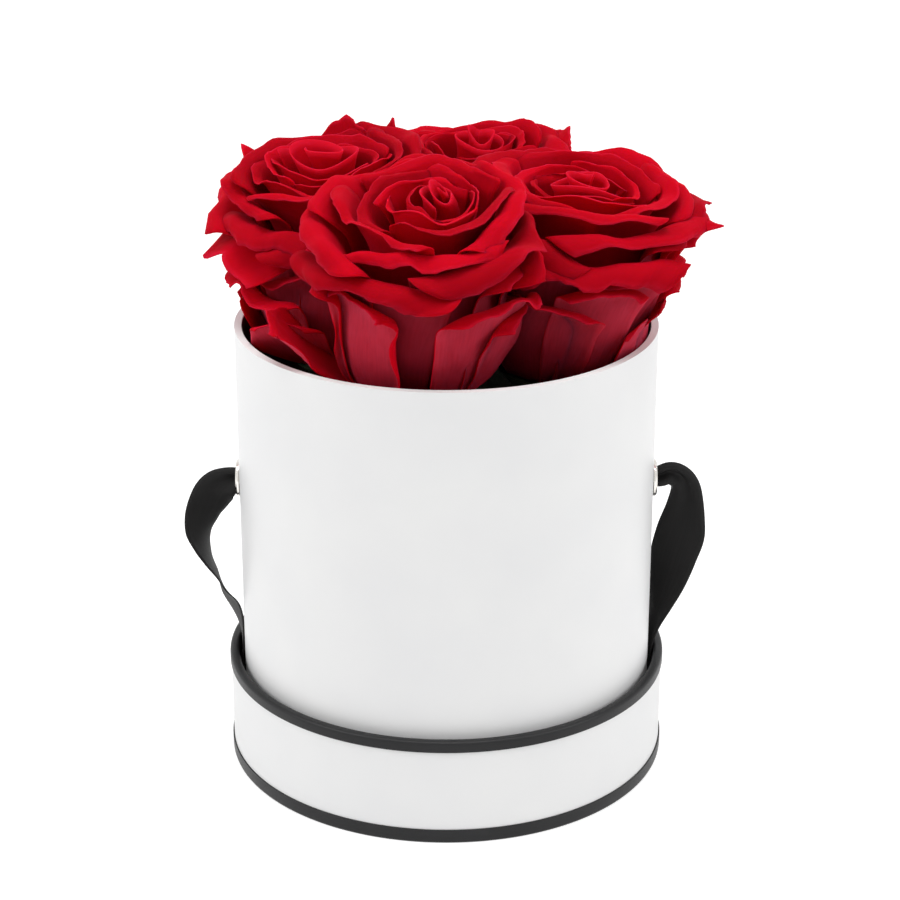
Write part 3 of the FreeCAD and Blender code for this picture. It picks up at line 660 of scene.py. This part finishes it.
# Shares of a petal's length, seat to rim: where it is fully open, its waves and corners begin,
# and its lip begins
OPEN_BY = 0.6
WAVES_FROM = 0.45
CORNERS_FROM = 0.7
LIP_FROM = 0.75
CURL_FROM = 0.75  # share of a petal's half width where its side edges begin to curl back
BEAK_WIDE = 0.28  # share of the half width that a drawn-out middle of the lip takes up
BEAK_FLAT = 0.6  # share of the lip's turn that it loses there
BEAK_LONG = 0.9  # share by which the lip's roll is wider there
SIDE_TIGHT = 0.35  # share by which the lip's roll is tighter at the sides
TIP_LEAN = 0.6  # share of the lip's turn at which a pointed tip leaves it
TIP_FALL = 1.4  # power by which a tip falls off to its sides
TIP_GROWTH = 1.5  # power by which it grows over the lip
FLAT_RATE = 1.3  # one over the share of its length by which a petal is as flat as it gets
SPIRAL_BY = 0.5  # share of its length by which one side edge stands fully out past the other
# Waves across a petal's rim, with the depth of the short ones as a share of the long ones'
LONG_WAVES = 2.2
SHORT_WAVES = 4.1
SHORT_WAVE_DEPTH = 0.6
RUFFLE_WAVES = 8.3
CURL_UNEVEN = 0.35  # share by which the curl varies along a side edge
CURL_HALF_WAVES = 5  # in which it varies
LEAST_CURL = 0.001  # radians


def petal_grid(seat, crest, height, shape, random):
    """Points of one petal about its rose's axis, in millimetres, facing along +X.

    seat and crest are radii, height is the crest's, and shape holds the rest. u runs across
    the petal, t from its seat to its crest, s over its lip, and v over its whole length.
    """
    u = np.linspace(-1, 1, PETAL_ACROSS + 1)
    side = np.abs(u)
    top = height - shape["side_drop"] * side ** shape["point"] + shape["slope"] * u
    out = crest + shape["side_flare"] * side**2
    first = math.radians(shape["seat_lean"])
    last = math.radians(shape["crest_lean"])
    low_pull = SEAT_PULL * height
    high_pull = CREST_PULL * height
    t = np.linspace(0, 1, PETAL_UP + 1)[:, None]
    r0, z0 = seat, 0.0
    r1, z1 = seat + low_pull * math.sin(first), low_pull * math.cos(first)
    r2, z2 = out - high_pull * math.sin(last), top - high_pull * math.cos(last)
    weights = ((1 - t) ** 3, 3 * t * (1 - t) ** 2, 3 * t**2 * (1 - t), t**3)
    radius = weights[0] * r0 + weights[1] * r1 + weights[2] * r2 + weights[3] * out
    level = weights[0] * z0 + weights[1] * z1 + weights[2] * z2 + weights[3] * top

    beak = shape["beak"] * np.exp(-((u / BEAK_WIDE) ** 2))
    turn = np.radians(shape["lip_turn"] + shape["side_roll"] * side**2) * (1 - BEAK_FLAT * beak)
    roll = shape["lip_radius"] * (1 + BEAK_LONG * beak) * (1 - SIDE_TIGHT * side**2)
    s = np.linspace(0, 1, PETAL_LIP + 1)[1:, None]
    angle = last + turn * s
    from_tip = np.abs(u - shape["tip_at"]) / shape["tip_wide"]
    tip = shape["tip"] * np.exp(-(from_tip**TIP_FALL)) * s**TIP_GROWTH
    tip_lean = last + TIP_LEAN * turn
    lip_radius = out + roll * (math.cos(last) - np.cos(angle)) + tip * np.sin(tip_lean)
    lip_level = top + roll * (np.sin(angle) - math.sin(last)) + tip * np.cos(tip_lean)
    radius = np.vstack([radius, lip_radius])
    level = np.vstack([level, lip_level])

    v = np.concatenate([t[:, 0] * LIP_FROM, LIP_FROM + (1 - LIP_FROM) * s[:, 0]])[:, None]
    open_low, open_high = np.radians(shape["open_low"]), np.radians(shape["open_high"])
    spread_angle = open_low + (open_high - open_low) * np.minimum(v / OPEN_BY, 1.0)
    at_corner = np.clip((v - CORNERS_FROM) / (1 - CORNERS_FROM), 0, 1) ** 2
    spread_angle = spread_angle * (1 - shape["corner"] * at_corner)
    radius = radius / np.cos(shape["flat"] * np.clip(v * FLAT_RATE, 0, 1) * u * spread_angle)
    radius = radius + shape["spiral"] * u * np.clip(v / SPIRAL_BY, 0, 1)

    edge = np.clip((v - WAVES_FROM) / (1 - WAVES_FROM), 0, 1)
    phase = random.uniform(0, 2 * math.pi, 3)
    long_wave = np.sin(u * LONG_WAVES * math.pi + phase[0])
    short_wave = SHORT_WAVE_DEPTH * np.sin(u * SHORT_WAVES * math.pi + phase[1])
    level = level + shape["wave"] * edge * (long_wave + short_wave)
    ruffle = np.sin(u * RUFFLE_WAVES * math.pi + phase[2])
    radius = radius + shape["ruffle"] * edge**3 * ruffle

    uneven = 1 + CURL_UNEVEN * np.sin(v * CURL_HALF_WAVES * math.pi + phase[2])
    curl = np.radians(shape["curl"]) * uneven + LEAST_CURL
    past = np.clip((side - CURL_FROM) / (1 - CURL_FROM), 0, 1)
    curl_radius = (1 - CURL_FROM) * spread_angle * radius / curl
    flat_part = np.minimum(side, CURL_FROM) * spread_angle
    bearing = np.sign(u) * (flat_part + curl_radius * np.sin(curl * past) / radius)
    radius = radius + curl_radius * (1 - np.cos(curl * past))
    return np.stack([radius * np.cos(bearing), radius * np.sin(bearing), level], axis=-1)


CRUMPLE_SEED = 2
CRUMPLE_STEP = (17.3, 5.1, 9.7)  # how far apart in the noise two seeds lie
CRUMPLE_SIZE = 11.0  # millimetres, of a dent
CRUMPLE_HEART = 1.0  # millimetres, its depth at the heart of a rose
CRUMPLE_GUARD = 2.8  # and in the outermost petals
CRUMPLE_GROWTH = 1.2  # power by which dents deepen towards the lip
LOOSE_CRUMPLE_SIZE = 12.0
LOOSE_CRUMPLE = 1.6
WARP_SIZE = 17.0  # millimetres, of the dents that all petals of a rose's heart share
WARP = 5.0  # millimetres, their depth in the middle of the rose
noise.seed_set(CRUMPLE_SEED)  # without a seed of its own the noise differs from run to run


def crumple(grid, size, amount, seed):
    """Moves a petal's points by smooth noise, more towards its lip, in millimetres."""
    tall, wide = grid.shape[:2]
    dented = grid.copy()
    offset = Vector(seed * step for step in CRUMPLE_STEP)
    for r in range(tall):
        share = (r / (tall - 1)) ** CRUMPLE_GROWTH
        for c in range(wide):
            place = Vector(grid[r, c]) / size + offset
            dented[r, c] += np.array(noise.noise_vector(place)) * amount * share
    return dented


def between(low, high, share):
    """The value at a share of the way from low to high."""
    return low + (high - low) * share


PETALS_PER_ROSE = 18
GOLDEN_TURN = math.radians(137.5)  # from each petal to the next
# Petals of the spiral, from the heart outwards, that make up each part of a rose
PARTS = (
    ("inner_petals", 0, 4),
    ("middle_petals", 4, 8),
    ("outer_petals", 8, 13),
    ("guard_petals", 13, 18),
)
# Shares along the spiral, and the sizes of a petal there in millimetres and degrees
SPIRAL = (0.0, 0.2, 0.4, 0.6, 0.8, 1.0)
CREST_RADIUS = (8.5, 11.5, 17.0, 21.0, 24.0, 26.5)
CREST_HEIGHT = (49.5, 49.5, 50.5, 48.0, 44.0, 40.0)
CREST_LEAN = (6.0, 18.0, 30.0, 42.0, 52.0, 60.0)
LIP_RADIUS = (1.0, 1.5, 2.1, 2.8, 3.6, 4.4)
LIP_TURN = (45.0, 60.0, 76.0, 90.0, 100.0, 106.0)


# Sizes of the rolled heart, in millimetres, and the tone of its red from 0 to 1
BUD_TURNS = 2.0
BUD_LOW = 24.0
BUD_TOP = 54.0
BUD_INNER = 1.2
BUD_GROWTH = 5.8  # of its radius over all its turns
BUD_FOOT = 0.55  # share of its radius at its foot
BUD_BELLY = 0.6  # share by which it is wider half way up
BUD_FLARE = 1.1  # of its rim
BUD_FLARE_FROM = 0.8  # share of its height
BUD_RIM_WAVE = 0.9
BUD_RIM_WAVES = 1.7  # for each turn
BUD_RIM_FALL = 0.25  # for each radian outwards
BUD_TONE = 0.6
BUD_ACROSS = 90  # faces along the strip
BUD_UP = 16


def bud_grid(random):
    """The rolled heart: one strip wound on itself, its rim a little turned out."""
    angle = np.linspace(0, 2 * math.pi * BUD_TURNS, BUD_ACROSS + 1)[None, :]
    v = np.linspace(0, 1, BUD_UP + 1)[:, None]
    wind = BUD_INNER + BUD_GROWTH * angle / angle.max()
    belly = BUD_FOOT + BUD_BELLY * np.sin(math.pi * np.clip(v, 0, BUD_FLARE_FROM))
    flare = BUD_FLARE * np.clip((v - BUD_FLARE_FROM) / (1 - BUD_FLARE_FROM), 0, 1) ** 2
    radius = wind * belly + flare
    wave = BUD_RIM_WAVE * np.sin(angle * BUD_RIM_WAVES + random.uniform(0, 6))
    rim = BUD_TOP + wave - BUD_RIM_FALL * angle
    level = BUD_LOW + (rim - BUD_LOW) * v
    return np.stack([radius * np.cos(angle), radius * np.sin(angle), level], axis=-1)


def rose_frame(rose, leans):
    """Place of a rose: origin at the petals' seat, X outwards and Z up, leaning by two angles."""
    low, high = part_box(f"{rose}_rose_calyx")
    bearing = math.atan2(low[1] + high[1], low[0] + high[0])
    stem = np.array([v.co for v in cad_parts[f"{rose}_rose_stem"].data.vertices])
    axis = np.linalg.svd(stem - stem.mean(axis=0))[2][0]
    axis = axis * np.sign(axis[2])
    heart = np.array([v.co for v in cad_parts[f"{rose}_rose_heart"].data.vertices])
    height = heart @ axis
    seat = Vector(heart[height < height.min() + 0.1 * MM].mean(axis=0))
    outwards, sideways = (math.radians(lean) for lean in leans)
    turn = Matrix.Rotation(bearing, 4, "Z") @ Matrix.Rotation(outwards, 4, "Y")
    return Matrix.Translation(seat) @ turn @ Matrix.Rotation(-sideways, 4, "X")


def placed(grid, matrix):
    """Grid points in millimetres about a rose's axis, as metres in the object's frame."""
    rotation = np.array(matrix.to_3x3())
    return grid * MM @ rotation.T + np.array(matrix.translation)


def about_axis(grid, angle):
    """Turns a grid about its rose's axis."""
    turn = np.array(Matrix.Rotation(angle, 3, "Z"))
    return grid @ turn.T


DRAWN_IN = 0.6  # share of how far a heart is drawn out that it narrows across


def moved(grid, shift, drawn, share=1.0):
    """Draws a grid out along X and in along Y, and shifts it, all by a share."""
    stretch = np.array((1 + drawn * share, 1 - DRAWN_IN * drawn * share, 1.0))
    return grid * stretch + np.array((*shift, 0.0)) * share


# Heights in a rose, in millimetres: where its tilt begins, is full, and turns about
TILT_LOW = 14.0
TILT_HIGH = 40.0
TILT_PIVOT = 45.0


def tilted(grid, outwards, sideways):
    """Tips the head of a rose over by two angles, from its seat up, in millimetres."""
    share = np.clip((grid[..., 2] - TILT_LOW) / (TILT_HIGH - TILT_LOW), 0, 1)
    share = share * share * (3 - 2 * share)
    for axis, angle in ((0, outwards), (1, sideways)):
        turn = math.radians(angle) * share
        along, up = grid[..., axis].copy(), grid[..., 2] - TILT_PIVOT
        grid[..., axis] = along * np.cos(turn) + up * np.sin(turn)
        grid[..., 2] = TILT_PIVOT + up * np.cos(turn) - along * np.sin(turn)
    return grid


PRESSED = 0.55  # share of what reaches past a neighbour's plane that is pushed back
WALL_GAP = 0.7 * MM
OVER_RIM = 12 * MM  # petals lean out past the wall by the square of their height over the rim
liner_points = np.array([v.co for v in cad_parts["box_liner"].data.vertices])
wall_inside = np.hypot(liner_points[:, 0], liner_points[:, 1]).min()
box_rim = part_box("box_side_wrap")[1][2]


def pressed(points, bearing):
    """Pushes petals back at the planes between two roses and at the wall of the box."""
    for turn, way in ((math.pi / 4, 1.0), (-math.pi / 4, -1.0)):
        normal = np.array([-math.sin(bearing + turn), math.cos(bearing + turn), 0.0]) * way
        past = np.maximum(points @ normal, 0.0)
        points = points - PRESSED * past[..., None] * normal
    reach = np.hypot(points[..., 0], points[..., 1])
    over = np.maximum(points[..., 2] - box_rim - WALL_GAP, 0.0)
    limit = wall_inside - WALL_GAP + over**2 / OVER_RIM
    pull = np.minimum(1.0, limit / np.maximum(reach, MM))
    return points * np.stack([pull, pull, np.ones_like(pull)], axis=-1)


class RoseLook(NamedTuple):
    """How one rose stands: angles in degrees and shifts in millimetres, outwards and sideways."""

    seed: int
    turn: float  # of its spiral
    leans: tuple  # of its foot
    tilts: tuple  # of its head
    guard_tilts: tuple  # of its outermost petals
    heart_shift: tuple
    drawn: float  # share by which its heart is drawn out outwards


ROSE_LOOKS = {
    "front": RoseLook(3, -60.0, (0.5, 0.5), (14.0, 0.0), (14.0, 0.0), (0.0, 4.0), 0.0),
    "right": RoseLook(8, 112.0, (8.0, 4.0), (0.0, -13.0), (-8.0, -13.0), (0.0, 0.0), 0.3),
    "back": RoseLook(14, 250.0, (4.0, 1.0), (-8.0, -3.0), (-8.0, -3.0), (0.0, 0.0), -0.2),
    "left": RoseLook(21, 80.0, (4.0, 1.0), (4.0, 12.0), (4.0, 12.0), (0.0, 0.0), 0.2),
}

LOOSE_SEAT = 13.5  # millimetres, radius of the circle on which loose petals sit
LOOSE_WIDE = 56.0  # half angle of a petal with full waves
LOOSE_WAVE = 0.6  # millimetres
LOOSE_RUFFLE = 0.3
LOOSE_SIDE_ROLL = 0.4  # share of a guard petal's


class Loose(NamedTuple):
    """A loose petal round the foot of a rose, in degrees and millimetres."""

    bearing: float  # from the rose's outward side
    crest: float  # radius of the crest
    height: float  # of the crest
    lean: float  # at the crest
    lip: float  # radius of the lip's roll
    lip_turn: float
    half_angle: float
    tip: float = 0.0  # length of a pointed tip
    tip_wide: float = 0.34  # share of the petal's half width
    tip_at: float = 0.0  # share of the half width, from the middle
    taper: float = 0.36  # share by which the lip is narrower than the petal
    curl: float = 30.0  # of its side edges
    seat_lean: float = 52.0  # at its foot; more presses it against the wall of the box
    slope: float = 0.0  # rise of its crest towards one side


LOOSE_PETALS = {
    "front": (
        Loose(62.0, 26.0, 27.0, 30.0, 4.0, 90.0, 38.0, tip=1.0),
        Loose(-25.0, 22.5, 30.0, 30.0, 3.0, 60.0, 32.0, curl=150.0),
        Loose(84.0, 25.0, 36.0, 55.0, 4.0, 60.0, 36.0, tip=3.0),
        Loose(95.0, 24.0, 22.0, 25.0, 3.0, 80.0, 40.0),
        Loose(-70.0, 35.0, 19.0, 30.0, 2.0, 40.0, 24.0, tip=1.0, seat_lean=68.0),
        Loose(-80.0, 23.0, 33.0, 50.0, 4.0, 70.0, 38.0, tip=2.0),
    ),
    "right": (
        Loose(2.0, 27.0, 41.5, 84.0, 3.0, 20.0, 14.0, tip=9.0, tip_wide=0.6, slope=1.5),
        Loose(-42.0, 24.0, 34.0, 50.0, 4.5, 90.0, 34.0, tip=1.0),
        Loose(-62.0, 25.0, 30.0, 25.0, 4.0, 95.0, 26.0, tip=1.0),
        Loose(20.0, 25.0, 24.0, 6.0, -2.0, -20.0, 44.0, seat_lean=74.0),
        Loose(-26.0, 25.5, 20.0, 6.0, -2.0, -20.0, 16.0, seat_lean=74.0),
        Loose(-92.0, 24.0, 24.0, 35.0, 5.0, 60.0, 36.0, tip=4.0),
        Loose(32.0, 23.0, 27.0, 45.0, 4.0, 90.0, 38.0, tip=2.0),
        Loose(60.0, 24.0, 30.0, 40.0, 4.0, 80.0, 40.0, tip=2.0),
    ),
    "back": (
        Loose(-60.0, 23.0, 49.5, 24.0, 3.0, 30.0, 40.0, tip=4.0, tip_wide=0.7),
        Loose(-40.0, 21.0, 30.0, 50.0, 4.0, 90.0, 38.0, tip=2.0),
        Loose(35.0, 21.0, 27.0, 45.0, 4.0, 90.0, 38.0, tip=2.0),
    ),
    "left": (
        Loose(-20.0, 23.0, 48.5, 32.0, 3.0, 20.0, 30.0, tip=6.0),
        Loose(-92.0, 17.5, 48.5, 18.0, 2.0, 20.0, 50.0, tip=6.0, tip_wide=0.5),
        Loose(-130.0, 22.0, 47.5, 20.0, 2.0, 15.0, 26.0, tip=6.0, tip_at=0.5),
        Loose(36.0, 23.0, 37.0, 90.0, 14.0, 44.0, 42.0, tip=4.5, tip_wide=0.3, tip_at=-0.6),
        Loose(48.0, 25.0, 23.0, 40.0, 4.0, 90.0, 40.0, tip=1.0),
        Loose(12.0, 25.0, 19.0, 8.0, -2.0, -30.0, 26.0, seat_lean=74.0),
        Loose(84.0, 34.0, 17.0, 25.0, 2.0, 40.0, 22.0, seat_lean=74.0),
        Loose(92.0, 24.0, 31.0, 40.0, 4.0, 60.0, 38.0, tip=3.0),
        Loose(-35.0, 21.0, 26.0, 50.0, 4.0, 90.0, 40.0, tip=2.0),
        Loose(-65.0, 24.0, 30.0, 40.0, 4.0, 80.0, 40.0, tip=2.0),
    ),
}


def petal_of(share, random):
    """Seat, crest radius, crest height and shape of a petal at a share of the spiral."""
    crest = np.interp(share, SPIRAL, CREST_RADIUS) + random.uniform(-0.5, 0.5)
    height = np.interp(share, SPIRAL, CREST_HEIGHT) + random.uniform(-1.0, 1.0)
    shape = {
        "seat_lean": between(10.0, 46.0, share),
        "crest_lean": np.interp(share, SPIRAL, CREST_LEAN) + random.uniform(-5, 5),
        "lip_radius": np.interp(share, SPIRAL, LIP_RADIUS) * random.uniform(0.8, 1.25),
        "lip_turn": np.interp(share, SPIRAL, LIP_TURN) + random.uniform(-18, 18),
        "side_roll": between(5.0, 40.0, share) * random.uniform(0.4, 1.4),
        "side_drop": between(0.5, 2.2, share) * random.uniform(0.4, 1.4),
        "slope": between(0.3, 2.4, share) * random.uniform(-1, 1),
        "side_flare": between(0.2, 1.0, share),
        "point": random.uniform(1.5, 2.8),
        "beak": max(0.0, random.uniform(-0.4, 0.9)) * share,
        "tip": max(0.0, random.uniform(-1.5, 3.5)) * max(share, 0.4),
        "tip_at": random.uniform(-0.5, 0.5),
        "tip_wide": 0.22,
        "open_low": between(75.0, 40.0, min(share * 1.4, 1.0)),
        "open_high": between(85.0, 54.0, min(share * 1.4, 1.0)) * random.uniform(0.92, 1.08),
        "corner": between(0.05, 0.42, share) * random.uniform(0.7, 1.2),
        "flat": between(0.3, 0.45, share),
        "spiral": between(1.0, 0.8, share),
        "wave": between(0.25, 0.75, share) * random.uniform(0.6, 1.4),
        "ruffle": between(0.08, 0.3, share) * random.uniform(0.5, 1.5),
        "curl": between(0.0, 40.0, share) * random.uniform(0, 1),
    }
    return between(3.2, 11.6, share), crest, height, shape


for rose in ROSES:
    look = ROSE_LOOKS[rose]
    random = np.random.default_rng(look.seed)
    matrix = rose_frame(rose, look.leans)
    rose_bearing = math.atan2(matrix.translation.y, matrix.translation.x)
    heart = SheetMesh()
    bud = moved(bud_grid(random), look.heart_shift, look.drawn)
    bud = tilted(crumple(bud, WARP_SIZE, WARP, look.seed), *look.tilts)
    heart.add(placed(bud, matrix), PETAL_DEPTH, BUD_TONE)
    piece = heart.piece(f"{rose}_heart", [petal_face, petal_face])
    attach(piece, "box")
    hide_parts(f"{rose}_rose_heart")
    for part, start, end in PARTS:
        petals = SheetMesh()
        grids = []
        for index in range(start, end):
            share = index / (PETALS_PER_ROSE - 1)
            grid = petal_grid(*petal_of(share, random), random)
            dent = between(CRUMPLE_HEART, CRUMPLE_GUARD, share)
            grid = crumple(grid, CRUMPLE_SIZE, dent, look.seed + index)
            grid = about_axis(grid, math.radians(look.turn) + GOLDEN_TURN * index)
            grid = moved(grid, look.heart_shift, look.drawn, 1 - share)
            grid = crumple(grid, WARP_SIZE, WARP * (1 - share), look.seed)
            opened = max(0.0, 2 * share - 1)
            tilts = between(np.array(look.tilts), np.array(look.guard_tilts), opened)
            grids.append(tilted(grid, *tilts))
        if part == "guard_petals":
            for loose in LOOSE_PETALS[rose]:
                _, _, _, shape = petal_of(1.0, random)
                shape.update(crest_lean=loose.lean, lip_radius=loose.lip, lip_turn=loose.lip_turn)
                shape.update(tip=loose.tip, tip_at=loose.tip_at, tip_wide=loose.tip_wide)
                shape.update(open_low=loose.half_angle, open_high=loose.half_angle)
                shape.update(seat_lean=loose.seat_lean, corner=loose.taper, curl=loose.curl)
                narrow = loose.half_angle / LOOSE_WIDE
                wave, ruffle = LOOSE_WAVE * narrow, LOOSE_RUFFLE * narrow**2
                shape.update(wave=wave, ruffle=ruffle, spiral=narrow)
                slope = narrow * shape["slope"] + loose.slope
                shape.update(side_roll=LOOSE_SIDE_ROLL * shape["side_roll"], slope=slope)
                grid = petal_grid(LOOSE_SEAT, loose.crest, loose.height, shape, random)
                seed = look.seed + loose.bearing
                grid = crumple(grid, LOOSE_CRUMPLE_SIZE, LOOSE_CRUMPLE, seed)
                grid = about_axis(grid, math.radians(loose.bearing))
                grids.append(tilted(grid, *look.guard_tilts))
        for grid in grids:
            points = pressed(placed(grid, matrix), rose_bearing)
            petals.add(points, PETAL_DEPTH, random.uniform(0, 1))
        # inner petals' undersides take the inner face's deeper red, painted shade for the cups
        # between their lips; only the guard petals show the paler underside
        under = petal_back if part == "guard_petals" else petal_face
        piece = petals.piece(f"{rose}_{part}", [petal_face, under])
        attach(piece, "box")
        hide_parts(f"{rose}_rose_{part}")


# Stage: a plain white floor under three soft studio lamps, and the camera at the
# photograph's place, looking down on the box from in front.
def white_for_camera(tree, strength):
    """1 for what the camera sees, also in metal or through glass, and the strength elsewhere."""
    path = tree.nodes.new("ShaderNodeLightPath")
    seen = path.outputs["Is Camera Ray"]
    for other in ("Is Glossy Ray", "Is Transmission Ray"):
        either = tree.nodes.new("ShaderNodeMath")
        either.operation = "MAXIMUM"
        tree.links.new(seen, either.inputs[0])
        tree.links.new(path.outputs[other], either.inputs[1])
        seen = either.outputs["Value"]
    return span(tree, seen, strength, 1.0, 0.0, 1.0)


AMBIENT = 0.54  # strength of the light from all round
world = bpy.data.worlds.new("studio")
world.use_nodes = True
sky = world.node_tree.nodes["Background"]
sky.inputs["Color"].default_value = (1.0, 1.0, 1.0, 1.0)
world.node_tree.links.new(white_for_camera(world.node_tree, AMBIENT), sky.inputs["Strength"])
bpy.context.scene.world = world

FLOOR_SIZE = 3.0  # metres
FLOOR_GLOW = 0.62  # that the camera sees, so that the lit floor is white
floor_mesh = bpy.data.meshes.new("floor")
corner = FLOOR_SIZE / 2
floor_mesh.from_pydata(
    [(-corner, -corner, 0), (corner, -corner, 0), (corner, corner, 0), (-corner, corner, 0)],
    [],
    [(0, 1, 2, 3)],
)
floor = bpy.data.objects.new("floor", floor_mesh)
bpy.context.scene.collection.objects.link(floor)
floor_white, floor_tree, floor_shader = new_material("floor_white", (0.6, 0.6, 0.6), 0.9)
floor_shader.inputs["Emission Color"].default_value = (1.0, 1.0, 1.0, 1.0)
floor_tree.links.new(
    span(floor_tree, white_for_camera(floor_tree, 0.0), 0.0, FLOOR_GLOW, 0.0, 1.0),
    floor_shader.inputs["Emission Strength"],
)
floor_mesh.materials.append(floor_white)


def softbox(name, place, target, size, watts):
    """A round soft lamp at a place, aimed at the target."""
    lamp = bpy.data.lights.new(name, "AREA")
    lamp.shape = "DISK"
    lamp.size = size
    lamp.energy = watts
    box = bpy.data.objects.new(name, lamp)
    bpy.context.scene.collection.objects.link(box)
    box.location = place
    aim = Vector(target) - Vector(place)
    box.rotation_euler = aim.to_track_quat("-Z", "Y").to_euler()


AIM = (0.0, 0.0, 0.09)
softbox("left", (-1.0, -0.45, 0.85), AIM, 0.8, 7.0)
softbox("right", (1.0, -0.45, 0.75), AIM, 0.8, 6.0)
softbox("top", (0.0, -0.15, 1.3), AIM, 0.7, 8.0)

CAMERA_ELEVATION = math.radians(21.65)
CAMERA_DISTANCE = 0.6267  # metres, from its target
CAMERA_TARGET = Vector((0.0, 0.0, 0.0848))
SENSOR_WIDTH = 36.0  # millimetres
FOCAL_PIXELS = 2361.1
PHOTO_PIXELS = 900.0
AXIS_PIXEL = 446.4  # where the camera's axis meets the photograph, across it
camera_data = bpy.data.cameras.new("camera")
camera_data.sensor_width = SENSOR_WIDTH
camera_data.lens = SENSOR_WIDTH * FOCAL_PIXELS / PHOTO_PIXELS
camera_data.shift_x = (PHOTO_PIXELS / 2 - AXIS_PIXEL) / PHOTO_PIXELS
camera = bpy.data.objects.new("camera", camera_data)
bpy.context.scene.collection.objects.link(camera)
camera.location = CAMERA_TARGET + CAMERA_DISTANCE * Vector(
    (0.0, -math.cos(CAMERA_ELEVATION), math.sin(CAMERA_ELEVATION))
)
camera.rotation_euler = (math.pi / 2 - CAMERA_ELEVATION, 0.0, 0.0)
bpy.context.scene.camera = camera
